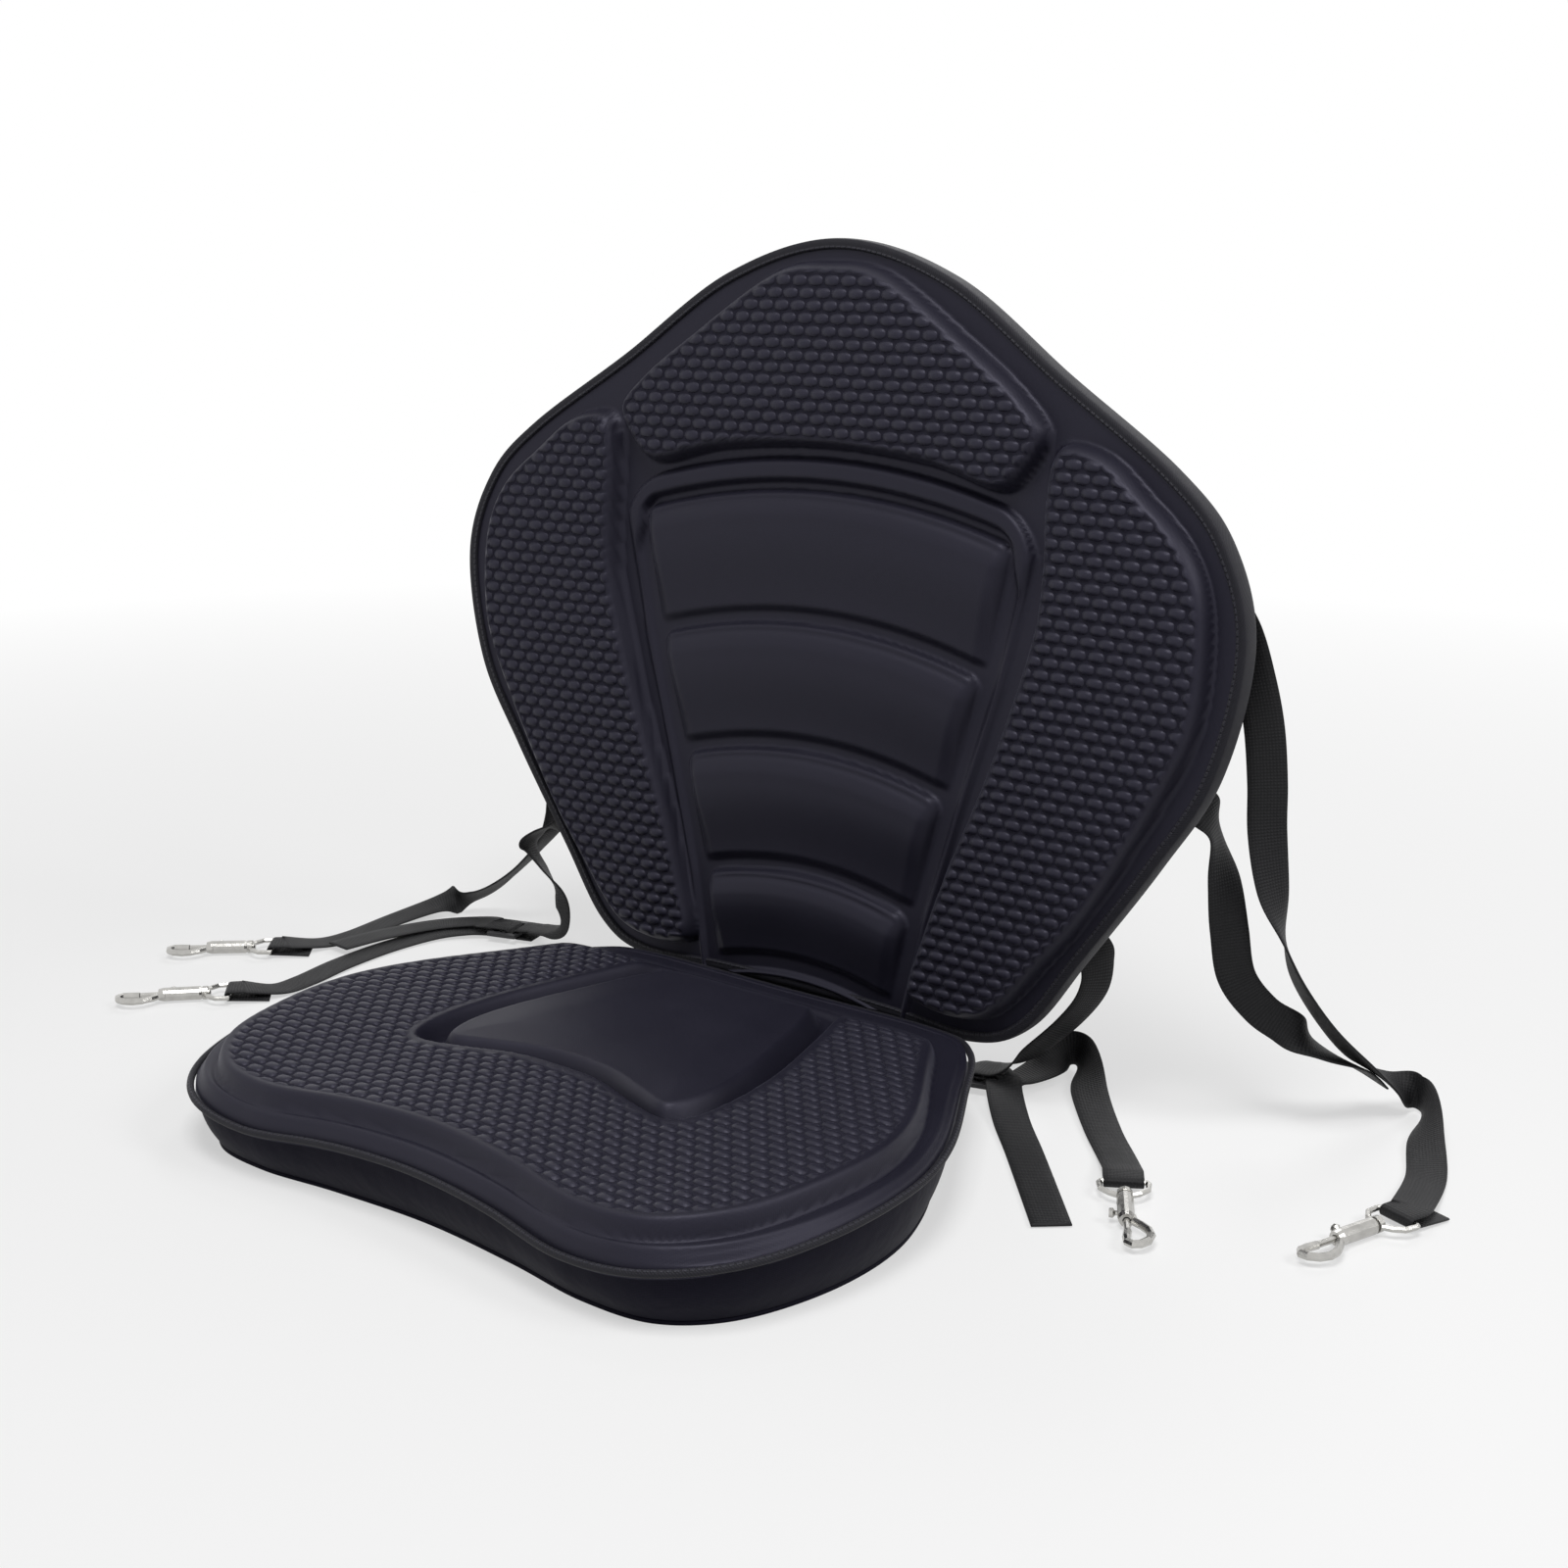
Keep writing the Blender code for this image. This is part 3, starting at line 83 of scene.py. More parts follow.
# Relief that only the looks have: where a form starts from its outline, then over what distance it runs.
LEDGE_RUN, STEP_ROUND, SHOULDER_START = 0.006, 0.0045, 0.05
STEP_GROOVE, STEP_GROOVE_PLACE, STEP_GROOVE_WIDTH = 0.10, 0.0012, 0.0014
WALL_START, WALL_RUN, PILLOW_START, PILLOW_RUN = 0.002, 0.0075, 0.0045, 0.0095
PAD_CROWN, PAD_CROWN_START, PAD_CROWN_RUN, CROWN_DROP = 0.0010, 0.004, 0.020, 0.0014
CENTRE_CROWN, CENTRE_CROWN_RUN = 0.0012, 0.030
BUMPS_START, BUMPS_RUN, CHANNEL_BARE, CHANNEL_BARE_RUN = 0.0060, 0.003, 0.0045, 0.004
SEAM_EDGE, SEAM_GROOVE, SEAM_GROOVE_PLACE, SEAM_GROOVE_WIDTH = 0.0003, 0.0006, 0.004, 0.0007
BAND_INSET, BAND_PINCH, COVER_EDGE, COVER_ROUND, COVER_LIP = 0.001, 0.0022, 0.0012, 0.0006, 0.004
BACK_PAD_ROUND, BACK_CROWN_SHARE, BACK_CROWN_START, BACK_CROWN_RUN = 0.0070, 0.07, 0.006, 0.022
BACK_BUMPS_START, RIB_CORNER, RIB_ROUND, RIB_FOOT, RIB_FOOT_DEPTH = 0.0040, 0.009, 0.0035, 0.006, 0.62
RIB_TOP_DEPTH, RIB_TOP_RUN, RIB_FALL_START, RIB_SIDE_RUN = 0.62, 0.015, 0.32, 0.013
RIB_GROOVE_PLACE, RIB_GROOVE_WIDTH, RIB_GROOVE_RUN = 0.0050, 0.0014, 0.02
RIDGE_OUT, RIDGE_TOP_CORNER, RIDGE_FOOT, RIDGE_FOOT_CORNER, RIDGE_ROUND = 0.0125, 0.024, 0.040, 0.010, 0.0040
RIDGE_WIDTH, RIDGE_ARCH_WIDTH, RIDGE_INNER, RIDGE_LOW = 0.0050, 0.0085, 0.003, 0.55
TAPE_ROUND, TAPE_EDGE, TAPE_BEND = 0.0016, 0.0004, 1.3
RIPPLE, RIPPLES = 0.0006, 160

# Webbing and its fittings.
WEBBING_WIDTH, WEBBING, BAR_RADIUS = 0.020, 0.0012, 0.0015
LOOP_LEAD, LOOP_TAIL, HOOK_AXIS_HEIGHT, ANCHOR_LENGTH, ANCHOR_STEP = 0.008, 0.024, 0.0050, 0.025, 0.007
ADJUSTER_HEIGHT, ADJUSTER_BAR, ADJUSTER_PITCH, ADJUSTER_CLEAR = 0.0055, 0.0024, 0.0090, 0.0060

# Outlines in shares of the half width and of the reach, from the middle of one edge to the other.
FLANGE_OUTLINE = ((0, -0.935), (0.294, -0.961), (0.539, -1), (0.750, -0.965), (0.900, -0.790),
                  (0.985, -0.490), (1, -0.160), (0.940, 0.160), (0.800, 0.550), (0.655, 0.900),
                  (0.490, 1), (0, 1))
SEAT_PAD_OUTLINE = ((0, -0.858), (0.270, -0.893), (0.520, -0.948), (0.720, -0.905), (0.860, -0.720),
                    (0.925, -0.430), (0.935, -0.130), (0.875, 0.150), (0.735, 0.500), (0.600, 0.800),
                    (0.455, 0.915), (0, 0.915))
CHANNEL_OUTLINE = ((0, -0.257), (0.140, -0.270), (0.288, -0.334), (0.409, -0.367), (0.460, -0.302),
                   (0.474, -0.129), (0.456, 0.106), (0.414, 0.352), (0.363, 0.599), (0.312, 0.789),
                   (0.233, 0.859), (0, 0.859))
CENTRE_PAD_OUTLINE = ((0, -0.199), (0.130, -0.219), (0.260, -0.277), (0.353, -0.315), (0.400, -0.264),
                      (0.419, -0.116), (0.400, 0.092), (0.358, 0.324), (0.312, 0.549), (0.260, 0.718),
                      (0.195, 0.789), (0, 0.789))
BACK_OUTLINE = ((0, 1), (0.28, 0.953), (0.556, 0.835), (0.812, 0.728), (0.940, 0.645), (1, 0.525),
                (0.955, 0.3625), (0.842, 0.235), (0.690, 0.090), (0.575, -0.015), (0.450, -0.052),
                (0.226, -0.048), (0, -0.045))
TOP_PAD_OUTLINE = ((0, 0.972), (0.15, 0.957), (0.380, 0.862), (0.485, 0.812), (0.545, 0.765),
                   (0.510, 0.715), (0.440, 0.686), (0.263, 0.712), (0, 0.724))
SIDE_PAD_OUTLINE = ((0.600, 0.755), (0.692, 0.742), (0.778, 0.700), (0.880, 0.640), (0.932, 0.560),
                    (0.932, 0.440), (0.880, 0.345), (0.737, 0.178), (0.628, 0.080), (0.520, -0.002),
                    (0.420, -0.026), (0.315, -0.018), (0.292, 0.010), (0.320, 0.075), (0.372, 0.178),
                    (0.462, 0.330), (0.540, 0.495), (0.556, 0.585), (0.553, 0.670), (0.562, 0.730))

# Straps: a point, then the direction of the webbing's width.
REAR_ANCHOR = (0.900, 0.600)
BRACE_ANCHOR = (0.790, 0.345)
FRONT_ANCHOR = (0.560, 0.160)
REAR_RIGHT_ROUTE = (((0.2523, 0.184, 0.271), (0.98, 0.02, 0)), ((0.258, 0.189, 0.247), (0.95, 0.2, 0)),
                    ((0.262, 0.194, 0.220), (0.9, 0.4, 0)), ((0.263, 0.199, 0.191), (0.85, 0.5, 0)),
                    ((0.263, 0.202, 0.165), (0.8, 0.6, 0)), ((0.267, 0.204, 0.135), (0.45, 0.9, 0)),
                    ((0.274, 0.205, 0.110), (-0.42, 0.91, 0)), ((0.281, 0.209, 0.088), (-0.75, 0.66, 0)),
                    ((0.291, 0.224, 0.062), (-0.85, 0.5, 0)), ((0.301, 0.250, 0.035), (-0.93, 0.35, 0)),
                    ((0.310, 0.276, 0.016), (-0.75, 0.2, 0.6)), ((0.320, 0.284, 0.012), (-0.1, 0, 1)),
                    ((0.331, 0.270, 0.012), (0.3, 0.1, 0.95)), ((0.342, 0.240, 0.007), (0.9, 0.1, 0.4)),
                    ((0.357, 0.205, 0.002), (0.99, 0.1, 0)))
REAR_RIGHT_HOOK = ((0.366, 0.150), (-0.33, -0.94))
REAR_RIGHT_BRACE = (((0.229, 0.190, 0.178), (0.75, 0.4, 0.5)), ((0.236, 0.198, 0.161), (-0.3, 0.9, 0.3)),
                    ((0.243, 0.197, 0.137), (0.45, 0.9, 0)), ((0.246, 0.200, 0.110), (0.8, 0.6, 0)),
                    ((0.249, 0.205, 0.084), (0.85, 0.45, 0.3)), ((0.260, 0.213, 0.066), (0.5, 0.2, 0.85)),
                    ((0.273, 0.219, 0.057), (-0.1, 0.1, 1)), ((0.285, 0.230, 0.045), (-0.8, 0.4, 0.4)),
                    ((0.297, 0.251, 0.032), (-0.93, 0.35, 0)), ((0.303, 0.266, 0.020), (-0.93, 0.3, 0.2)))
REAR_LEFT_ROUTE = (((-0.2523, 0.184, 0.271), (0.98, -0.02, 0)), ((-0.254, 0.190, 0.235), (0.99, 0.05, 0)),
                   ((-0.248, 0.198, 0.195), (0.99, 0.1, 0)), ((-0.240, 0.206, 0.150), (0.95, 0.3, 0)),
                   ((-0.240, 0.214, 0.108), (0.7, 0.7, 0)),
                   ((-0.251, 0.215, 0.076), (0.3, 0.9, 0.3)), ((-0.273, 0.214, 0.051), (0.1, 0.95, 0.3)),
                   ((-0.297, 0.212, 0.031), (0.2, 0.95, 0.2)), ((-0.324, 0.213, 0.015), (0.5, 0.85, 0)),
                   ((-0.345, 0.198, 0.008), (0.9, 0.42, 0)), ((-0.355, 0.165, 0.003), (0.98, 0.2, 0)),
                   ((-0.355, 0.128, 0.0012), (1, 0, 0)), ((-0.358, 0.104, 0.002), (0.93, -0.3, 0)))
REAR_LEFT_HOOK = ((-0.371, 0.074), (-0.75, -0.66))
REAR_LEFT_BRACE = (((-0.224, 0.188, 0.172), (0.9, 0.3, 0)), ((-0.231, 0.198, 0.142), (0.8, 0.5, 0)),
                   ((-0.233, 0.2055, 0.110), (0.7, 0.7, 0)), ((-0.2455, 0.2125, 0.0755), (0.3, 0.9, 0.3)))
FRONT_ANCHOR_RIGHT = (((0.169, 0.190, 0.0935), (0.9, 0.1, 0.3)), ((0.172, 0.196, 0.076), (0.5, 0.8, 0.1)),
                      ((0.169, 0.196, 0.059), (0.4, 0.9, -0.1)), ((0.156, 0.194, 0.040), (0.3, 0.9, -0.2)),
                      ((0.138, 0.186, 0.021), (0.2, 0.97, -0.2)))
ADJUSTER_RIGHT = ((0.113, 0.172), (-0.93, -0.25))
FRONT_RIGHT_ROUTE = (((0.130, 0.182, 0.003), (-0.2, 0.97, 0)), ((0.136, 0.203, 0.006), (-0.8, 0.5, 0.3)),
                     ((0.139, 0.222, 0.012), (-0.2, 0, 1)), ((0.152, 0.221, 0.012), (0.3, 0.2, 0.95)),
                     ((0.172, 0.192, 0.005), (0.75, 0.6, 0.2)), ((0.200, 0.158, 0.002), (0.77, 0.64, 0)),
                     ((0.224, 0.131, 0.0025), (0.8, 0.6, 0)))
FRONT_RIGHT_HOOK = ((0.244, 0.103), (0.52, -0.85))
FRONT_RIGHT_TAIL = (((0.138, 0.160, 0.0065), (0.5, 0.86, 0)), ((0.158, 0.136, 0.0025), (0.75, 0.66, 0)),
                    ((0.182, 0.110, 0.0012), (0.74, 0.67, 0)), ((0.210, 0.078, 0.0012), (0.77, 0.64, 0)),
                    ((0.237, 0.047, 0.0012), (0.76, 0.65, 0)))
FRONT_ANCHOR_LEFT = (((-0.178, 0.186, 0.104), (0.9, 0.1, -0.3)), ((-0.212, 0.195, 0.088), (0.3, 0.5, -0.8)),
                     ((-0.233, 0.186, 0.0835), (0, 1, 0)), ((-0.246, 0.187, 0.0705), (-0.2, 0.9, -0.3)),
                     ((-0.234, 0.188, 0.0555), (-0.5, 0.8, -0.3)), ((-0.222, 0.189, 0.0405), (-0.9, 0.4, 0)),
                     ((-0.221, 0.190, 0.0245), (-0.9, 0.4, 0.1)), ((-0.233, 0.196, 0.0125), (-0.4, 0.9, 0)))
ADJUSTER_LEFT = ((-0.272, 0.193), (0.96, 0.28))
FRONT_LEFT_ROUTE = (((-0.298, 0.180, 0.003), (0.5, -0.86, 0)), ((-0.313, 0.160, 0.002), (0.9, -0.4, 0)),
                    ((-0.319, 0.125, 0.0015), (1, 0, 0)), ((-0.317, 0.085, 0.0015), (1, 0.05, 0)),
                    ((-0.311, 0.050, 0.0015), (0.98, -0.05, 0)), ((-0.310, 0.028, 0.0025), (0.95, -0.3, 0)))
FRONT_LEFT_HOOK = ((-0.324, 0.003), (-0.69, -0.72))
FRONT_LEFT_TAIL = (((-0.300, 0.190, 0.006), (0.4, -0.9, 0)), ((-0.322, 0.172, 0.004), (0.85, -0.5, 0)),
                   ((-0.334, 0.135, 0.0045), (1, -0.1, 0)), ((-0.338, 0.100, 0.0050), (1, 0, 0)))
BLEND_ROOM, BLEND_LEAST = 0.02, 0.03
OVER_REACH = (0.0040, 0.0045)
BEYOND_REACH = (0.010, 0.011)
OVER_KEYS = ((-0.013, 0.0118), (-0.001, 0.0103))

# Camera at the photograph's angle.
CAMERA_PLACE, CAMERA_FOCAL_PIXELS = (0.71894, -0.76669, 0.46478), 2200
CAMERA_YAW, CAMERA_PITCH, CAMERA_ROLL = math.radians(38.33), math.radians(14.73), math.radians(-0.14)
PHOTO_PIXELS, SENSOR = 1600, 36
LAMPS = (("lamp_top", (0.45, -0.60, 2.0), 0.8, 1.7), ("lamp_side", (1.7, 0.4, 1.5), 0.7, 0.8),
         ("lamp_rear", (-0.5, 1.7, 1.7), 1.0, 0.7))
LAMP_AIM, FLOOR_DROP, SURROUND_LIGHT = (0, 0.05, 0.15), 0.0002, 0.10


# Numbers.

def smooth(value):
    """0 below 0, 1 above 1, and a smooth step 3t2 - 2t3 between."""
    t = np.clip(value, 0, 1)
    return t * t * (3 - 2 * t)


def shoulder(value):
    """Rounded edge of a moulded form: rises as 1 - (1 - t)^2.4 and stays at 1."""
    return 1 - (1 - np.clip(value, 0, 1)) ** 2.4


def catmull_rom(before, start, end, after, t):
    """Point between start and end on the smooth curve through four points."""
    return 0.5 * (2 * start + (end - before) * t + (2 * before - 5 * start + 4 * end - after) * t * t
                  + (3 * start - before - 3 * end + after) * t ** 3)


def closed_line(points, steps):
    """Closed smooth curve through points, with steps samples between each two."""
    keys = np.array(points, float)
    t = (np.arange(steps) / steps)[None, :, None]
    before, after, beyond = (np.roll(keys, shift, axis=0)[:, None] for shift in (1, -1, -2))
    return catmull_rom(before, keys[:, None], after, beyond, t).reshape(-1, 2)


def mirrored(half, across, along, steps=12):
    """Closed symmetric curve from the outline of its right half, in metres."""
    right = [(u * across, v * along(v) if callable(along) else v * along) for u, v in half]
    return closed_line(right + [(-u, v) for u, v in right[-2:0:-1]], steps)


def seat_line(half, steps=12):
    """Outline on the seat, whose shares reach to its front and to its rear edge."""
    return mirrored(half, SEAT_HALF_WIDTH, lambda v: SEAT_REAR if v > 0 else SEAT_FRONT, steps)


def back_line(half, steps=12):
    """Outline on the backrest."""
    return mirrored(half, BACK_HALF_WIDTH, BACK_HEIGHT, steps)


def moved_out(line, distance):
    """Closed line moved outward along its normals."""
    along = np.roll(line, -1, axis=0) - np.roll(line, 1, axis=0)
    normal = np.stack((along[:, 1], -along[:, 0]), axis=1)
    normal /= np.linalg.norm(normal, axis=1, keepdims=True)
    area = np.sum(line[:, 0] * np.roll(line[:, 1], -1) - np.roll(line[:, 0], -1) * line[:, 1])
    return line + normal * distance * np.sign(area)


def depth_inside(x, y, line):
    """Distance from a closed line, positive inside it: least distance to its edges, signed by crossings."""
    nearest = np.full(x.shape, np.inf)
    inside = np.zeros(x.shape, bool)
    for (ax, ay), (bx, by) in zip(line, np.roll(line, -1, axis=0)):
        dx, dy = bx - ax, by - ay
        share = np.clip(((x - ax) * dx + (y - ay) * dy) / (dx * dx + dy * dy + 1e-18), 0, 1)
        nearest = np.minimum(nearest, (x - ax - share * dx) ** 2 + (y - ay - share * dy) ** 2)
        if dy:
            inside ^= ((ay > y) != (by > y)) & (x < dx * (y - ay) / dy + ax)
    return np.sqrt(nearest) * np.where(inside, 1, -1)


def spaced(points, count):
    """Points at even distances along a line."""
    reach = np.concatenate(([0], np.cumsum(np.linalg.norm(np.diff(points, axis=0), axis=1))))
    even = np.linspace(0, reach[-1], count)
    return np.stack([np.interp(even, reach, points[:, k]) for k in range(points.shape[1])], axis=1)


def patch(line, corner_a, corner_b, keys, columns, rows):
    """Grid over a closed symmetric line: a Coons patch between its two ends and its two sides."""
    steps = len(line) // keys

    def ring(a, b):
        """The line from one key to another, either way round."""
        way = 1 if b > a else -1
        return line[np.arange(a * steps, b * steps + way, way) % len(line)]

    first, last = spaced(ring(-corner_a, corner_a), columns), spaced(ring(keys - corner_b, corner_b), columns)
    right, left = spaced(ring(corner_a, corner_b), rows), spaced(ring(-corner_a, -corner_b), rows)
    s, t = np.linspace(0, 1, columns)[None, :, None], np.linspace(0, 1, rows)[:, None, None]
    corners = ((1 - s) * (1 - t) * first[0] + s * (1 - t) * first[-1] + (1 - s) * t * last[0] + s * t * last[-1])
    return (1 - t) * first[None] + t * last[None] + (1 - s) * left[:, None] + s * right[:, None] - corners


def ovals(x, y, looks):
    """Staggered rounded bumps: sqrt(1 - |x/a|^2.6 - |y/b|^2.6) in each cell, every other row half a cell on."""
    row = np.floor(y / looks.pitch_y)
    cell_x = (x / looks.pitch_x + 0.5 * (row % 2)) % 1 - 0.5
    cell_y = y / looks.pitch_y - row - 0.5
    oval = (np.abs(cell_x * looks.pitch_x / looks.oval_x) ** 2.6
            + np.abs(cell_y * looks.pitch_y / looks.oval_y) ** 2.6)
    return np.sqrt(np.clip(1 - oval, 0, None))


# Meshes.

def add_piece(name, grids, material):
    """Mesh of one or more grids of points, each with its wrap, its UV in metres, a relief mask and its caps.

    A face's outer side is the columns' direction crossed with the rows'. A last row that lies on the first
    is joined to it.
    """
    verts, faces, uvs, masks = [], [], [], []
    base = 0
    for grid, wrap, uv, mask, caps in grids:
        rows, columns = grid.shape[:2]
        index = np.arange(rows * columns).reshape(rows, columns)
        if np.allclose(grid[0], grid[-1], atol=1e-9):
            index[-1], grid, rows = index[0], grid[:-1], rows - 1
        over = np.concatenate((index, index[:, :1]), axis=1) if wrap else index
        quads = np.stack((over[:-1, :-1], over[:-1, 1:], over[1:, 1:], over[1:, :-1]), axis=-1).reshape(-1, 4)
        flat_uv = uv.reshape(-1, 2)
        span = np.arange(uv.shape[0] * uv.shape[1]).reshape(uv.shape[:2])
        corner = np.stack((span[:-1, :-1], span[:-1, 1:], span[1:, 1:], span[1:, :-1]), axis=-1).reshape(-1)
        verts.append(grid.reshape(-1, 3))
        masks.append(np.zeros(rows * columns) if mask is None else mask.reshape(-1))
        faces += (quads + base).tolist()
        uvs.append(flat_uv[corner])
        if caps:
            for ring in (index[0][::-1], index[-1]):
                faces.append((ring + base).tolist())
                uvs.append(np.zeros((columns, 2)))
        base += rows * columns
    mesh = bpy.data.meshes.new(name)
    mesh.from_pydata(np.concatenate(verts).tolist(), [], faces)
    layer = mesh.uv_layers.new(name="UVMap")
    layer.data.foreach_set("uv", np.concatenate(uvs).astype(np.float32).ravel())
    relief = mesh.attributes.new("relief", "FLOAT", "POINT")
    relief.data.foreach_set("value", np.concatenate(masks).astype(np.float32))
    mesh.validate()
    mesh.shade_smooth()
    mesh.materials.append(material)
    piece = bpy.data.objects.new(name, mesh)
    bpy.context.scene.collection.objects.link(piece)
    return piece


def along_uv(grid):
    """UV in metres: length along the rows' middles, and along the first row."""
    middle = grid.mean(axis=1)
    down = np.concatenate(([0], np.cumsum(np.linalg.norm(np.diff(middle, axis=0), axis=1))))
    first = grid[len(grid) // 2]
    across = np.concatenate(([0], np.cumsum(np.linalg.norm(np.diff(first, axis=0), axis=1))))
    u, v = np.meshgrid(down, across, indexing="ij")
    return np.stack((u, v), axis=-1)


def back_points(u, w, v):
    """Points of the backrest: u across, w behind the pads' face less the wings' wrap, v up, leant back."""
    depth = w - BACK_WRAP * (u / BACK_HALF_WIDTH) ** 2
    return np.stack((u, PIVOT_Y + depth * math.cos(RECLINE) + v * math.sin(RECLINE),
                     PIVOT_Z - depth * math.sin(RECLINE) + v * math.cos(RECLINE)), axis=-1)


# Webbing: a list of point and direction of width, as in the frame.

def back_world(u, w, v):
    """One point of the backrest in the frame."""
    return Vector(back_points(np.float64(u), np.float64(w), np.float64(v)).tolist())


def smooth_route(route, steps=12):
    """Samples of point and width direction along a smooth curve through a route."""
    points = [Vector(point) for point, _ in route]
    widths = [Vector(width).normalized() for _, width in route]
    samples = []
    last = len(route) - 1
    for i in range(last):
        keys = (max(i - 1, 0), i, i + 1, min(i + 2, last))
        for step in range(steps):
            t = step / steps
            samples.append((catmull_rom(*(points[k] for k in keys), t),
                            catmull_rom(*(widths[k] for k in keys), t).normalized()))
    samples.append((points[-1], widths[-1]))
    return samples


def matched(samples, reference):
    """Samples with their width turned to the side of a reference width."""
    side = 1 if Vector(samples[0][1]).dot(Vector(reference)) > 0 else -1
    return [(Vector(point), Vector(width) * side) for point, width in samples]


def turn_round(bar, heading, height, radius, lead, tail, tail_height, steps=18):
    """Samples of webbing that runs over a bar, round it and back underneath."""
    forward = Vector((*heading, 0)).normalized()
    width = Vector((forward.y, -forward.x, 0))
    centre = Vector((*bar, height))
    samples = [(centre - forward * lead + Vector((0, 0, radius)), width)]
    for k in range(steps + 1):
        angle = math.pi * (0.5 - k / steps)
        spoke = forward * math.cos(angle) + Vector((0, 0, math.sin(angle)))
        samples.append((centre + spoke * radius, width))
    end = centre - forward * tail
    samples.append((Vector((end.x, end.y, tail_height)), width))
    return samples


def anchored(route, anchor, side):
    """Route with the length sewn to the rear face of the backrest put before it."""
    face = REAR_FACE + GAP + WEBBING / 2
    end = Vector((side * anchor[0] * BACK_HALF_WIDTH, anchor[1] * BACK_HEIGHT))
    away = Matrix.Rotation(RECLINE, 3, "X") @ (Vector(route[0][0]) - Vector((0, PIVOT_Y, PIVOT_Z)))
    along = (Vector((away.x, away.z)) - end).normalized()
    half = Vector((along.y, -along.x)) * WEBBING_WIDTH / 2
    sewn = []
    for place, depth in ((end - along * ANCHOR_LENGTH, face), (end, face),
                         (end + along * ANCHOR_STEP, face + BINDING + 3 * GAP)):
        edges = [back_world(place.x + way * half.x, depth, place.y + way * half.y) for way in (-1, 1)]
        sewn.append(((edges[0] + edges[1]) / 2, (edges[1] - edges[0]).normalized()))
    return matched(sewn, route[0][1]) + list(route)


def to_hook(route, hook):
    """Samples of a route that ends in the sewn loop round the bar of a hook's eye."""
    bar, heading = hook
    radius = BAR_RADIUS + GAP + WEBBING / 2
    loop = turn_round(bar, heading, HOOK_AXIS_HEIGHT, radius, LOOP_LEAD, LOOP_TAIL, WEBBING / 2 + 2 * GAP)
    samples = smooth_route(list(route) + matched(loop[:1], route[-1][1]))
    return samples[:-1] + matched(loop, samples[-1][1])


def adjuster_turn(bar, heading, lead, tail):
    """Webbing round one bar of an adjuster."""
    radius = ADJUSTER_BAR / 2 * math.sqrt(2) + GAP + WEBBING / 2
    return turn_round(bar, heading, ADJUSTER_HEIGHT, radius, lead, tail, ADJUSTER_HEIGHT - radius)


def front_samples(route, tail, adjuster, hook):
    """Samples of a front strap in two parts: its tail into the adjuster, and its run to the hook."""
    bar, heading = adjuster
    reach = ADJUSTER_PITCH + ADJUSTER_CLEAR
    turn = adjuster_turn(bar, heading, reach, reach)
    arriving = smooth_route(list(tail[::-1]) + matched(turn[:1], tail[0][1]))
    leaving = to_hook(matched(turn[-1:], route[0][1]) + list(route), hook)
    turn = matched(turn, arriving[-1][1])
    middle = len(turn) // 2
    run = turn[middle:]
    return (arriving[:-1] + turn[:middle + 1])[::-1], run + matched(leaving[1:], run[-1][1])


def anchor_samples(route, adjuster, side, over):
    """Samples from the backrest to the far bar of an adjuster, over its other bars or from beyond it."""
    bar, heading = adjuster
    forward = Vector((*heading, 0)).normalized()
    far = Vector((*bar, 0)) + forward * ADJUSTER_PITCH
    keys = []
    if over:
        turn = adjuster_turn(far.xy, forward.xy, *OVER_REACH)
        keys = [(Vector((*bar, height)) + forward * along, turn[0][1]) for along, height in OVER_KEYS]
    else:
        turn = adjuster_turn(far.xy, -forward.xy, *BEYOND_REACH)
    keys = matched(keys + turn[:1], route[-1][1])
    samples = smooth_route(anchored(route, FRONT_ANCHOR, side) + keys)
    return samples[:-1] + matched(turn, samples[-1][1])


def webbing(name, samples, material, sewn):
    """Ribbon along samples: a 20 mm by 1.2 mm section with round edges and a thin selvedge."""
    points = np.array([tuple(point) for point, _ in samples])
    widths = np.array([tuple(width) for _, width in samples])
    along = np.gradient(points, axis=0)
    along /= np.linalg.norm(along, axis=1, keepdims=True)
    across = widths - along * np.sum(widths * along, axis=1, keepdims=True)
    across /= np.linalg.norm(across, axis=1, keepdims=True)
    normal = np.cross(along, across)
    half, thick = WEBBING_WIDTH / 2, WEBBING / 2
    edge = [(half - thick * (1 - math.cos(a)), thick * math.sin(a)) for a in np.linspace(-1.2, 1.2, 5)]
    section = np.array(edge + [(half * k, thick) for k in (0.5, 0, -0.5)]
                       + [(-x, -y) for x, y in edge] + [(half * k, -thick) for k in (-0.5, 0, 0.5)])
    grid = points[:, None] + across[:, None] * section[None, :, :1] + normal[:, None] * section[None, :, 1:]
    reach = np.concatenate(([0], np.cumsum(np.linalg.norm(np.diff(points, axis=0), axis=1))))
    u = np.repeat(reach[:, None], len(section) + 1, axis=1)
    v = np.repeat(np.append(section[:, 0], section[0, 0])[None], len(reach), axis=0)
    mask = np.full(grid.shape[:2], 1.0 if sewn else 0.0)
    piece = add_piece(name, [(grid, True, np.stack((u, v), axis=-1), mask, True)], material)
    return piece, points, float(reach[-1])


# Materials.

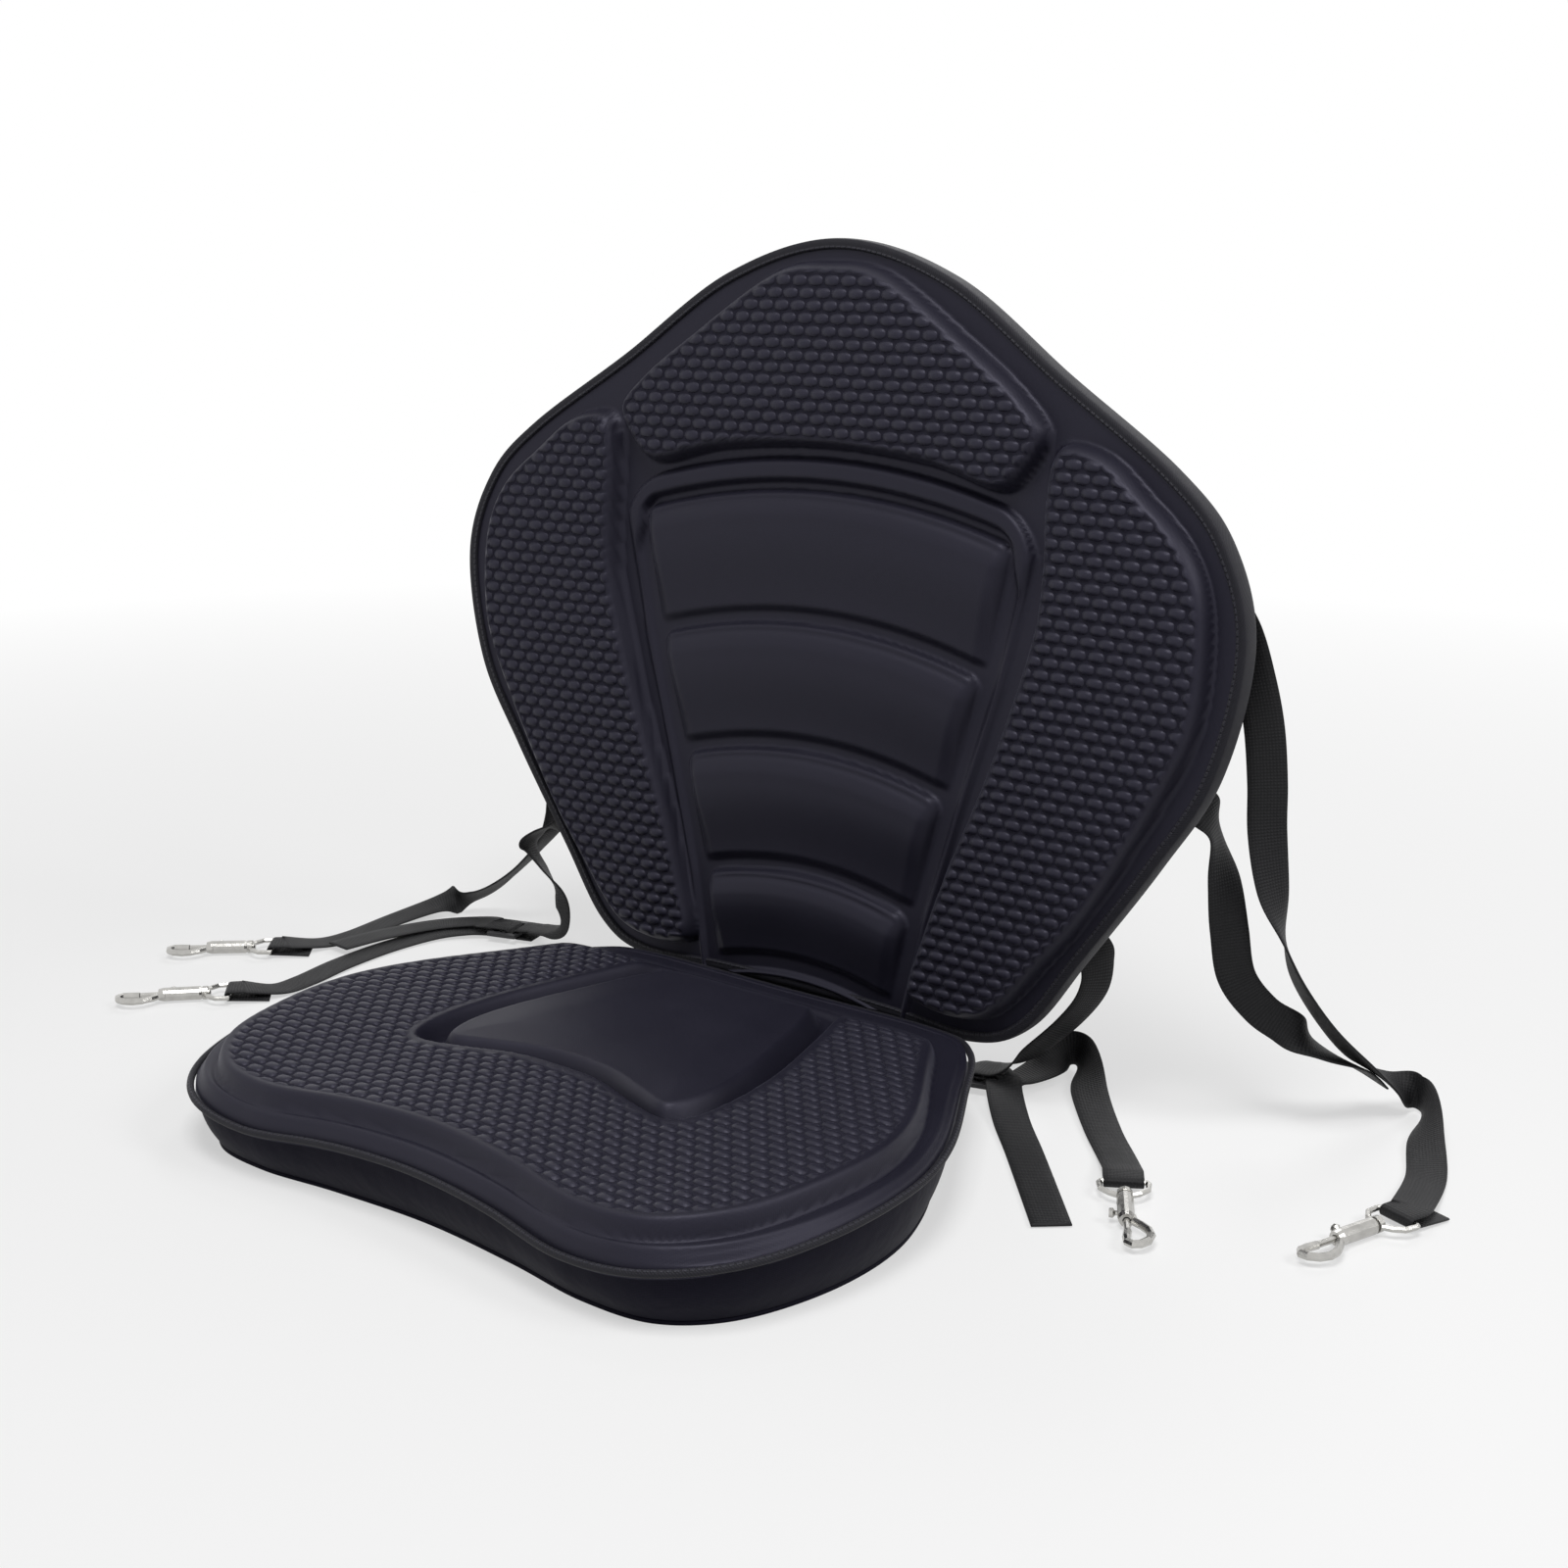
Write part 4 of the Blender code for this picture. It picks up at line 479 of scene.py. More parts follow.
class Field:
    """A shader value: sums, products and the like of fields give fields."""

    def __init__(self, paint, socket):
        self.paint, self.socket = paint, socket

    def __add__(self, other): return self.paint.maths("ADD", self, other)
    def __radd__(self, other): return self.paint.maths("ADD", other, self)
    def __sub__(self, other): return self.paint.maths("SUBTRACT", self, other)
    def __rsub__(self, other): return self.paint.maths("SUBTRACT", other, self)
    def __mul__(self, other): return self.paint.maths("MULTIPLY", self, other)
    def __rmul__(self, other): return self.paint.maths("MULTIPLY", other, self)
    def __truediv__(self, other): return self.paint.maths("DIVIDE", self, other)
    def __pow__(self, other): return self.paint.maths("POWER", self, other)
    def sine(self): return self.paint.maths("SINE", self)
    def size(self): return self.paint.maths("ABSOLUTE", self)
    def floor(self): return self.paint.maths("FLOOR", self)
    def share(self): return self.paint.maths("FRACT", self)
    def most(self, other): return self.paint.maths("MAXIMUM", self, other)
    def least(self, other): return self.paint.maths("MINIMUM", self, other)
    def above(self, other): return self.paint.maths("GREATER_THAN", self, other)


class Paint:
    """A material under construction: one principled shader and the nodes that feed it."""

    def __init__(self, name, colour, **constants):
        self.material = bpy.data.materials.new(name)
        self.material.use_nodes = True
        self.tree = self.material.node_tree
        self.tree.nodes.clear()
        self.shader = self.node("ShaderNodeBsdfPrincipled")
        self.node("ShaderNodeOutputMaterial", Surface=self.shader.outputs[0])
        self.shader.inputs["Base Color"].default_value = (*colour, 1)
        for socket, value in constants.items():
            self.shader.inputs[socket.replace("_", " ")].default_value = value

    def node(self, kind, settings=(), **inputs):
        """A node with its settings, and its inputs as values, sockets or fields."""
        node = self.tree.nodes.new(kind)
        for key, value in dict(settings).items():
            setattr(node, key, value)
        for name, value in inputs.items():
            self.feed(node.inputs[name.replace("_", " ")], value)
        return node

    def feed(self, socket, value):
        """A value, socket or field put into a socket."""
        if isinstance(value, Field):
            value = value.socket
        if isinstance(value, bpy.types.NodeSocket):
            self.tree.links.new(value, socket)
        else:
            socket.default_value = value

    def maths(self, operation, *values):
        """One arithmetic node."""
        node = self.node("ShaderNodeMath", {"operation": operation})
        for socket, value in zip(node.inputs, values):
            self.feed(socket, value)
        return Field(self, node.outputs[0])

    def metres(self):
        """The two fields of the UV in metres."""
        split = self.node("ShaderNodeSeparateXYZ", Vector=self.node("ShaderNodeTexCoord").outputs["UV"])
        return Field(self, split.outputs[0]), Field(self, split.outputs[1])

    def relief(self):
        """The mask of the bumps."""
        return Field(self, self.node("ShaderNodeAttribute", {"attribute_name": "relief"}).outputs["Fac"])

    def noise(self, scale, detail=3.0, rough=0.55):
        """Cloudy field from 0 to 1 on object coordinates; scale is in clouds a metre."""
        place = self.node("ShaderNodeTexCoord").outputs["Object"]
        node = self.node("ShaderNodeTexNoise", Vector=place, Scale=scale, Detail=detail, Roughness=rough)
        return Field(self, node.outputs["Fac"])

    def stitches(self, along, across, line, length=0.0034, width=0.0009):
        """Raised thread on one line: 1 on a stitch, 0 in its gaps and beside it."""
        near = 1 - ((across - line) / width).size()
        dash = 1 - (((along / length).share() - 0.45) / 0.42).size()
        return near.most(0).least(1) ** 0.6 * (dash * 4).most(0).least(1)

    def finish(self, colour=None, tint=None, roughness=None, height=None, distance=0.001, strength=1.0):
        """Fields into the sockets: a tint between two colours, roughness, and a bump in metres."""
        if tint is not None:
            mix = self.node("ShaderNodeMix", {"data_type": "RGBA"})
            self.feed(mix.inputs[0], tint)
            mix.inputs[6].default_value = (*colour[0], 1)
            mix.inputs[7].default_value = (*colour[1], 1)
            self.feed(self.shader.inputs["Base Color"], mix.outputs[2])
        if roughness is not None:
            self.feed(self.shader.inputs["Roughness"], roughness)
        if height is not None:
            bump = self.node("ShaderNodeBump", Height=height, Distance=distance, Strength=strength)
            self.feed(self.shader.inputs["Normal"], bump.outputs[0])
        return self.material


def moulded_cloth(looks):
    """Foam-backed cloth: fine knit, oval bumps with painted highlights on top and painted shade between, faint
    clouds of wear.
    """
    base = tuple(looks.cloth_colour)
    paint = Paint("moulded_foam_cloth", base, Sheen_Weight=0.06, Sheen_Roughness=0.35, Specular_IOR_Level=0.32)
    paint.shader.inputs["Sheen Tint"].default_value = (0.75, 0.75, 1, 1)
    paint.shader.inputs["Specular Tint"].default_value = (0.82, 0.80, 1, 1)
    x, y = paint.metres()
    row = (y / looks.pitch_y).floor()
    cell_x = (x / looks.pitch_x + row * 0.5).share() - 0.5
    cell_y = (y / looks.pitch_y).share() - 0.5
    oval = ((cell_x * (looks.pitch_x / looks.oval_x)).size() ** 2.6
            + (cell_y * (looks.pitch_y / looks.oval_y)).size() ** 2.6)
    dome = (1 - oval).most(0) ** 0.5 * paint.relief()
    knit = (x * 5200).sine() * (y * 4700).sine()
    clouds = paint.noise(28)
    grain = paint.noise(1500, 2.0)
    height = dome * looks.bump_paint + knit * 0.000012 + grain * 0.00006
    # Painted highlight and painted shade: the tint lightens each bump's top (dome) and darkens the gaps between
    # bumps (gap); clouds and grain vary the tone at random.
    light = tuple(2.2 * c + 0.009 for c in base)
    gap = paint.relief() * (1 - (dome * 2.2).least(1))
    tint = (dome * 0.55 + clouds * 0.30 + grain * 0.12 - gap * 0.35).most(0).least(1)
    return paint.finish((base, light), tint, 0.44 + clouds * 0.10 - dome * 0.05 + gap * 0.3, height, 1.0)


def band_cloth(looks):
    """Smooth cloth with a fine rib knit and soft creases."""
    base = tuple(looks.cloth_colour)
    paint = Paint("band_cloth", base, Sheen_Weight=0.02, Sheen_Roughness=0.4, Specular_IOR_Level=0.08)
    paint.shader.inputs["Specular Tint"].default_value = (0.82, 0.80, 1, 1)
    x, y = paint.metres()
    rib = (y * 6300).sine() * 0.6 + (x * 5200).sine() * 0.4
    clouds = paint.noise(22)
    creases = paint.noise(70, 2.0)
    height = rib * 0.00002 + creases * 0.0007
    dark = tuple(0.75 * c for c in base)
    light = tuple(1.5 * c + 0.003 for c in base)
    return paint.finish((dark, light), clouds * 0.8 + rib * 0.1 + 0.1, 0.55 + clouds * 0.12, height, 1.0)


def binding_cloth(looks):
    """Woven tape with twill lines and a row of lock stitches."""
    base = tuple(0.7 * c for c in looks.cloth_colour)
    paint = Paint("binding_tape", base, Sheen_Weight=0.05, Sheen_Roughness=0.4, Specular_IOR_Level=0.28)
    x, y = paint.metres()
    twill = ((x + y) * 4200).sine()
    stitch = paint.stitches(x, y, looks.stitch_line).most(paint.stitches(x, y, looks.stitch_line_rear))
    height = twill * 0.00005 + stitch * 0.0005
    light = tuple(3.2 * c + 0.02 for c in base)
    tint = (stitch * 0.7 + twill * 0.07 + paint.noise(300) * 0.15).most(0).least(1)
    return paint.finish((base, light), tint, 0.55 + paint.noise(120) * 0.15 - stitch * 0.12, height, 1.0)


def strap_webbing(looks):
    """Flat webbing: fine ribs across it, a woven edge, and a sewn box with its cross at the start."""
    base = tuple(looks.strap_colour)
    paint = Paint("webbing", base, Sheen_Weight=0.04, Sheen_Roughness=0.4, Specular_IOR_Level=0.22)
    x, y = paint.metres()
    rib = (x * (2 * math.pi / looks.rib_pitch)).sine()
    thread = (y * (2 * math.pi / 0.0016)).sine()
    weave = rib * (0.7 + thread * 0.3)
    edge = (y.size() - 0.0082).above(0)
    box_a = paint.stitches(y, x, 0.003).most(paint.stitches(y, x, 0.020))
    box_b = paint.stitches(x, y, 0.0075).most(paint.stitches(x, y, -0.0075))
    cross = (x - 0.0115) * 0.88
    box_c = paint.stitches(x, y - cross, 0).most(paint.stitches(x, y + cross, 0))
    sewn = (box_a.most(box_b).most(box_c)) * (0.0206 - x).above(0) * (x - 0.0024).above(0)
    sewn = sewn * paint.relief()
    height = weave * 0.00011 * (1 - edge * 0.6) + thread * 0.00004 + sewn * 0.0004
    light = tuple(2.6 * c + 0.012 for c in base)
    tint = (weave * 0.30 + 0.30 + paint.noise(400) * 0.2 - edge * 0.1 + sewn * 0.5).most(0).least(1)
    return paint.finish((base, light), tint, 0.52 + paint.noise(60) * 0.16 - weave * 0.04, height, 1.0)


def grained_plastic(looks):
    """Moulded plastic with a fine spark-eroded grain and scuffed faces."""
    paint = Paint("moulded_plastic", (0.012, 0.012, 0.014), IOR=1.5)
    grain = paint.noise(1700, 2.0)
    scuff = paint.noise(240, 4.0, 0.65)
    return paint.finish(((0.009, 0.009, 0.011), (0.035, 0.035, 0.038)), (scuff - 0.45).most(0) * 2.2,
                        0.34 + grain * 0.12 + scuff * 0.14, grain * 0.00012 + scuff * 0.00008, 1.0)


def nickel(looks):
    """Bright nickel plate: faint clouds in its polish and hair scratches."""
    paint = Paint("nickel_plate", tuple(looks.metal_colour), Metallic=1.0)
    clouds = paint.noise(160, 3.0)
    hair = paint.noise(2600, 2.0)
    dark = tuple(0.62 * c for c in looks.metal_colour)
    return paint.finish((dark, tuple(looks.metal_colour)), clouds, 0.14 + clouds * 0.14,
                        hair * 0.00003 + clouds * 0.00012, 1.0)


def closed_cell_foam(looks):
    """Foam core: small cells, a little paler where a cell stands out, and faint clouds."""
    paint = Paint("foam", (0.050, 0.050, 0.055), Specular_IOR_Level=0.2)
    cells = paint.noise(700, 2.0)
    return paint.finish(((0.040, 0.040, 0.044), (0.062, 0.062, 0.068)), cells * 0.7 + paint.noise(30) * 0.3,
                        0.85 + cells * 0.1, cells * 0.0004, 1.0)


def pressed_board(looks):
    """Stiffener board: pressed plastic with a fine even grain and faint clouds."""
    paint = Paint("stiffener_board", (0.030, 0.030, 0.030), IOR=1.5)
    grain = paint.noise(1200, 2.0)
    return paint.finish(((0.024, 0.024, 0.024), (0.040, 0.040, 0.041)), paint.noise(40), 0.55 + grain * 0.2,
                        grain * 0.0001, 1.0)


def finish_of(slot):
    """The material of a slot, made once; the frame's own plain one of the same name is renamed."""
    made = bpy.data.materials.get(slot)
    if made and made.get("kayak_seat"):
        return made
    if made:
        made.name = "frame_" + slot
    maker = {"moulded_foam_cloth": moulded_cloth, "band_cloth": band_cloth, "binding_tape": binding_cloth,
             "webbing": strap_webbing, "moulded_plastic": grained_plastic, "nickel_plate": nickel,
             "foam": closed_cell_foam, "stiffener_board": pressed_board}[slot]
    material = maker(bpy.context.scene.kayak_seat_cloth)
    material["kayak_seat"] = True
    return material


# Sizes and colours that a user would change.

class ClothLooks(bpy.types.PropertyGroup):
    """Cloth, webbing and metal."""
    cloth_colour: bpy.props.FloatVectorProperty(
        name="Cloth", description="Colour of the cloth", subtype="COLOR", default=(0.0050, 0.0046, 0.0100),
        min=0, max=1)
    strap_colour: bpy.props.FloatVectorProperty(
        name="Webbing", description="Colour of the webbing", subtype="COLOR", default=(0.0040, 0.0040, 0.0048),
        min=0, max=1)
    metal_colour: bpy.props.FloatVectorProperty(
        name="Metal", description="Colour of the nickel plate", subtype="COLOR", default=(0.58, 0.57, 0.545),
        min=0, max=1)
    pitch_x: bpy.props.FloatProperty(
        name="Pitch across", description="Distance between bumps in a row", default=0.011, unit="LENGTH")
    pitch_y: bpy.props.FloatProperty(
        name="Pitch along", description="Distance between rows of bumps", default=0.0067, unit="LENGTH")
    oval_x: bpy.props.FloatProperty(
        name="Half bump across", description="Half the long side of a bump", default=0.0049, unit="LENGTH")
    oval_y: bpy.props.FloatProperty(
        name="Half bump along", description="Half the short side of a bump", default=0.0030, unit="LENGTH")
    bump_height: bpy.props.FloatProperty(
        name="Bump height", description="Height of a bump in the mesh", default=0.0013, unit="LENGTH")
    bump_paint: bpy.props.FloatProperty(
        name="Painted bump", description="Height of a bump in the material", default=0.0009, unit="LENGTH")
    stitch_line: bpy.props.FloatProperty(
        name="Front stitches", description="Distance of the front stitches from the tape's edge",
        default=0.0022, unit="LENGTH")
    stitch_line_rear: bpy.props.FloatProperty(
        name="Rear stitches", description="Distance of the rear stitches along the tape's section",
        default=0.0295, unit="LENGTH")
    rib_pitch: bpy.props.FloatProperty(
        name="Webbing rib", description="Distance between two ribs of the webbing", default=0.0017, unit="LENGTH")


class FormLooks(bpy.types.PropertyGroup):
    """Fineness and relief of the moulded forms."""
    seat_columns: bpy.props.IntProperty(name="Seat columns", description="Columns of the seat's grid", default=310)
    seat_rows: bpy.props.IntProperty(name="Seat rows", description="Rows of the seat's grid", default=235)
    back_columns: bpy.props.IntProperty(name="Back columns", description="Columns of the back's grid", default=285)
    back_rows: bpy.props.IntProperty(name="Back rows", description="Rows of the back's grid", default=340)
    groove: bpy.props.FloatProperty(
        name="Rib groove", description="Depth of the fine groove under each rib's edge",
        default=0.0011, unit="LENGTH")
    floor_size: bpy.props.FloatProperty(
        name="Floor", description="Side of the floor", default=12, unit="LENGTH")
    lamp_power: bpy.props.FloatProperty(
        name="Lamps", description="Power of the main lamp", default=15, unit="POWER")


class StepOperator:
    """Shared by the operators: each is listed with its settings and can be undone."""
    bl_options = {"REGISTER", "UNDO"}


STRAPS = ("rear_right", "rear_left", "front_right", "front_left")


def hook_pieces(name):
    """The three CAD nodes of one hook."""
    return [bpy.data.objects[f"hook_{name}_{part}"] for part in ("eye", "body", "bolt")]


def strap(name, samples, node, far_end, with_pieces=(), sewn=True):
    """Webbing in place of its CAD node: a strap not sewn to the back is attached to the seat, and a sewn one keeps
    its place.
    """
    piece, points, length = webbing(name, samples, finish_of("webbing"), sewn)
    [tuple(p) for p in points[::2]] + [tuple(points[-1])]
    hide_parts(node)
    if not sewn:
        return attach(piece, "seat")
    (x, y, top), low = points[0].tolist(), float(points[-1][2])
    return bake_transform(piece, "seat", "backrest", start=(x, y, min(low + BLEND_ROOM, top - BLEND_LEAST)),
                    end=(x, y, top - BLEND_ROOM))


class KAYAKSEAT_OT_straps(StepOperator, bpy.types.Operator):
    """Webbing: two rear straps with their braces, two anchors, and two front straps with their tails"""
    bl_idname = "kayak_seat.straps"
    bl_label = "Straps"

    def execute(self, context):
        rears = (("right", REAR_RIGHT_ROUTE, REAR_RIGHT_BRACE, REAR_RIGHT_HOOK, 1),
                 ("left", REAR_LEFT_ROUTE, REAR_LEFT_BRACE, REAR_LEFT_HOOK, -1))
        for side, route, brace, hook, way in rears:
            strap(f"webbing_rear_{side}", to_hook(anchored(route, REAR_ANCHOR, way), hook),
                  f"strap_rear_{side}", "fitting", hook_pieces(f"rear_{side}"))
            strap(f"webbing_brace_{side}", smooth_route(anchored(brace, BRACE_ANCHOR, way)),
                  f"strap_rear_{side}_brace", "object")
        fronts = {"right": (FRONT_ANCHOR_RIGHT, ADJUSTER_RIGHT, True, FRONT_RIGHT_ROUTE, FRONT_RIGHT_TAIL,
                            FRONT_RIGHT_HOOK, 1),
                  "left": (FRONT_ANCHOR_LEFT, ADJUSTER_LEFT, False, FRONT_LEFT_ROUTE, FRONT_LEFT_TAIL,
                           FRONT_LEFT_HOOK, -1)}
        for side, (anchor, adjuster, over, route, tail, hook, way) in fronts.items():
            strap(f"webbing_anchor_{side}", anchor_samples(anchor, adjuster, way, over),
                  f"strap_anchor_{side}", "object")
            tail_samples, run_samples = front_samples(route, tail, adjuster, hook)
            strap(f"webbing_front_{side}_run", run_samples, f"strap_front_{side}", "fitting",
                  hook_pieces(f"front_{side}"), False)
            strap(f"webbing_front_{side}_tail", tail_samples, f"strap_front_{side}", "bare", (), False)
        return {"FINISHED"}


def seam_height(x, y):
    """Shares of the front's fall and of the thigh's dip, a bell round its middle, and the seam's height."""
    front = smooth((-y - FRONT_DIP_START) / (FRONT_DIP_END - FRONT_DIP_START))
    thigh = np.exp(-((np.abs(x) - THIGH_OFFSET) / THIGH_SPREAD) ** 2)
    return front, thigh, SEAM_HEIGHT - front * (FRONT_DIP + THIGH_DIP * thigh)


def seat_relief(x, y):
    """Height of the moulded seat and the mask of its bumps.

    The seam dips at the front and under the thighs; the ledge rises from it, the pad steps up with a
    rounded shoulder, and the channel is cut down between two outlines; all fade out at the rear. Nothing
    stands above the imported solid, on which the folded back comes to rest.
    """
    front, thigh, seam = seam_height(x, y)
    fade = 1 - smooth((y - PAD_FADE_START) / (PAD_FADE_END - PAD_FADE_START))
    rise = (SEAM_HEIGHT + PAD_RISE - front * (PAD_FRONT_FALL + PAD_FRONT_DROP * thigh) - seam) * fade
    edge = depth_inside(x, y, seat_line(FLANGE_OUTLINE))
    pad = depth_inside(x, y, seat_line(SEAT_PAD_OUTLINE))
    channel = depth_inside(x, y, seat_line(CHANNEL_OUTLINE))
    centre = depth_inside(x, y, seat_line(CENTRE_PAD_OUTLINE))
    ledge = (rise - STEP_HEIGHT * fade) * smooth(edge / LEDGE_RUN)
    groove = STEP_GROOVE * np.exp(-((pad + STEP_GROOVE_PLACE) / STEP_GROOVE_WIDTH) ** 2)
    step = STEP_HEIGHT * fade * (shoulder(pad / STEP_ROUND + SHOULDER_START) - groove)
    wall = smooth((channel + WALL_START) / WALL_RUN)
    pillow = smooth((PILLOW_START - centre) / PILLOW_RUN)
    cut = CHANNEL_DEPTH * fade * np.minimum(wall, pillow)
    beside = 1 - smooth((channel + PAD_CROWN_RUN) / PAD_CROWN_RUN)
    crown = fade * (PAD_CROWN * smooth((pad - PAD_CROWN_START) / PAD_CROWN_RUN) * beside
                    + CENTRE_CROWN * smooth(centre / CENTRE_CROWN_RUN) - CROWN_DROP)
    mask = smooth((pad - BUMPS_START) / BUMPS_RUN) * smooth((-channel - CHANNEL_BARE) / CHANNEL_BARE_RUN) * fade
    height = seam + ledge + step - cut + crown
    drop = SEAT_FLANGE * (edge < SEAM_EDGE)
    seam_groove = SEAM_GROOVE * np.exp(-((edge - SEAM_GROOVE_PLACE) / SEAM_GROOVE_WIDTH) ** 2)
    return height - drop - seam_groove, mask


class KAYAKSEAT_OT_seat_pad(StepOperator, bpy.types.Operator):
    """Moulded top of the seat: stepped horseshoe pad with oval bumps, deep channel and centre pad"""
    bl_idname = "kayak_seat.seat_pad"
    bl_label = "Seat pad"

    def execute(self, context):
        looks, forms = context.scene.kayak_seat_cloth, context.scene.kayak_seat_forms
        flat = patch(seat_line(FLANGE_OUTLINE), 4, 10, 22, forms.seat_columns, forms.seat_rows)
        x, y = flat[..., 0], flat[..., 1]
        height, mask = seat_relief(x, y)
        height = height - (1 - ovals(x, y, looks)) * mask * looks.bump_height
        grid = np.stack((x, y, height), axis=-1)
        piece = add_piece("seat_top", [(grid, 0, flat, mask, False)], finish_of("moulded_foam_cloth"))
        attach(piece, "seat")
        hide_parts("seat_top_panel")
        return {"FINISHED"}


def ring_grid(rings):
    """Grid whose rows are closed rings of the same count, with UV along the ring and along the rows."""
    grid = np.stack(rings, axis=0)
    first = grid[0]
    step = np.linalg.norm(np.roll(first, -1, axis=0) - first, axis=1)
    u = np.concatenate(([0], np.cumsum(step)))
    down = np.linalg.norm(np.diff(grid, axis=0), axis=2).mean(axis=1)
    v = np.concatenate(([0], np.cumsum(down)))
    uv = np.stack(np.meshgrid(u, v, indexing="xy"), axis=-1)
    return grid, uv


class KAYAKSEAT_OT_seat_shell(StepOperator, bpy.types.Operator):
    """Side band, piping along the seam and the bottom cover of the seat"""
    bl_idname = "kayak_seat.seat_shell"
    bl_label = "Seat shell"

    def execute(self, context):
        line = seat_line(FLANGE_OUTLINE, 22)
        low = BOTTOM_COVER + GAP
        rings = []
        for share in np.linspace(0, 1, 14):
            inset = BAND_INSET + (BAND_DRAFT - BAND_INSET) * share - BAND_PINCH * math.sin(math.pi * share)
            place = moved_out(line, -inset)
            top = self.seam(place) - SEAT_FLANGE - GAP
            rings.append(np.column_stack((place, top + (low - top) * share)))
        grid, uv = ring_grid(rings)
        band = add_piece("seat_band", [(grid[::-1], 1, uv[::-1], None, False)], finish_of("band_cloth"))
        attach(band, "seat")
        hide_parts("seat_side_band")
        rings = []
        for angle in np.linspace(0, 2 * math.pi, 15):
            place = moved_out(line, PIPING_RADIUS * (1 + math.cos(angle)) + GAP)
            middle = self.seam(moved_out(line, PIPING_RADIUS)) - SEAT_FLANGE / 2
            rings.append(np.column_stack((place, middle + PIPING_RADIUS * math.sin(angle))))
        grid, uv = ring_grid(rings)
        piping = add_piece("seat_cord_piping", [(grid, 1, uv, None, False)], finish_of("binding_tape"))
        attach(piping, "seat")
        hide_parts("seat_piping")
        edge = moved_out(seat_line(FLANGE_OUTLINE), -BAND_DRAFT)
        flat = patch(edge, 4, 10, 22, 90, 70)
        base = np.concatenate((flat, np.zeros(flat.shape[:2] + (1,))), axis=2)
        rise = [np.column_stack((moved_out(edge, out), np.full(len(edge), z)))
                for out, z in ((0, 0), (0, COVER_EDGE), (-COVER_ROUND, BOTTOM_COVER),
                               (-COVER_LIP, BOTTOM_COVER))]
        rim, rim_uv = ring_grid(rise)
        grids = [(base[::-1], 0, flat[::-1], None, False), (rim, 1, rim_uv, None, False)]
        under = add_piece("seat_underside", grids, finish_of("band_cloth"))
        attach(under, "seat")
        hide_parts("seat_bottom_cover")
        return {"FINISHED"}

    @staticmethod
    def seam(place):
        """Height of the seam along a line."""
        return seam_height(place[:, 0], place[:, 1])[2]


def cornered(across, along, radius):
    """Depth inside two crossing edges whose corner is rounded: r - |(r - a, r - b)| where both are under r."""
    return np.where((across < radius) & (along < radius),
                    radius - np.hypot(radius - across, radius - along), np.minimum(across, along))


def back_relief(u, v, groove):
    """Height of the moulded back above its panel, and the mask of its bumps.

    Pads rise with a rounded shoulder. Ribs follow the arch t = v + A u2 / (w(t) w0): each is steep
    at its top, full below it and thin at its foot, with a fine groove under its top edge. A ridge frames
    the ribs, broad along the arched band over the top one and narrow down their sides.
    """
    top = depth_inside(u, v, back_line(TOP_PAD_OUTLINE))
    side_line = closed_line([(a * BACK_HALF_WIDTH, b * BACK_HEIGHT) for a, b in SIDE_PAD_OUTLINE], 6)
    side = depth_inside(np.abs(u), v, side_line)
    pad = np.maximum(top, side)
    height = BACK_PAD_RISE * ((1 - BACK_CROWN_SHARE) * shoulder(pad / BACK_PAD_ROUND + SHOULDER_START)
                              + BACK_CROWN_SHARE * smooth((pad - BACK_CROWN_START) / BACK_CROWN_RUN))
    mask = smooth((pad - BACK_BUMPS_START) / BUMPS_RUN)
    tops, widths = np.array(RIB_TOPS[::-1]), np.array(RIB_HALF_WIDTHS[::-1])
    level = v / BACK_HEIGHT
    for _ in range(3):
        width = np.interp(level, tops, widths)
        level = v / BACK_HEIGHT + RIB_ARCH * (u / BACK_HALF_WIDTH) ** 2 / (width * RIB_HALF_WIDTHS[0])
    reach = width * BACK_HALF_WIDTH - np.abs(u)
    ribs = np.zeros_like(u)
    for upper, lower in zip(RIB_TOPS[:-1], RIB_TOPS[1:]):
        below = (upper - level) * BACK_HEIGHT
        edge = cornered(reach, below, RIB_CORNER)
        length = (upper - lower) * BACK_HEIGHT - RIB_GAP
        foot = (level - lower) * BACK_HEIGHT - RIB_GAP
        fall = smooth((below - RIB_FALL_START * length) / ((1 - RIB_FALL_START) * length))
        body = (RIB_TOP_DEPTH + (1 - RIB_TOP_DEPTH) * smooth(below / RIB_TOP_RUN)) * (1 - RIB_FOOT_DEPTH * fall)
        line = np.exp(-((edge - RIB_GROOVE_PLACE) / RIB_GROOVE_WIDTH) ** 2) * smooth(reach / RIB_GROOVE_RUN)
        sides = smooth(reach / RIB_SIDE_RUN + 0.3)
        rib = shoulder(edge / RIB_ROUND) * smooth(foot / RIB_FOOT) * body * sides - groove / RIB_RISE * line
        ribs = np.maximum(ribs, np.where((edge > 0) & (foot > 0), rib, 0))
    high = ARCH_BAND[1]
    rim = cornered(reach + RIDGE_OUT, (high - level) * BACK_HEIGHT, RIDGE_TOP_CORNER)
    rim = cornered(rim, (level + RIDGE_FOOT) * BACK_HEIGHT, RIDGE_FOOT_CORNER)
    width = RIDGE_WIDTH + RIDGE_ARCH_WIDTH * smooth((level - 0.60) / 0.06)
    ridge = shoulder(rim / RIDGE_ROUND) * (1 - smooth((rim - width + RIDGE_INNER) / RIDGE_ROUND))
    ridge = ARCH_BAND_RISE * ridge * (RIDGE_LOW + (1 - RIDGE_LOW) * smooth((level - 0.55) / 0.12))
    ribs = np.maximum(ribs * RIB_RISE, np.where(rim > 0, ridge, 0))
    return np.maximum(height, ribs), mask


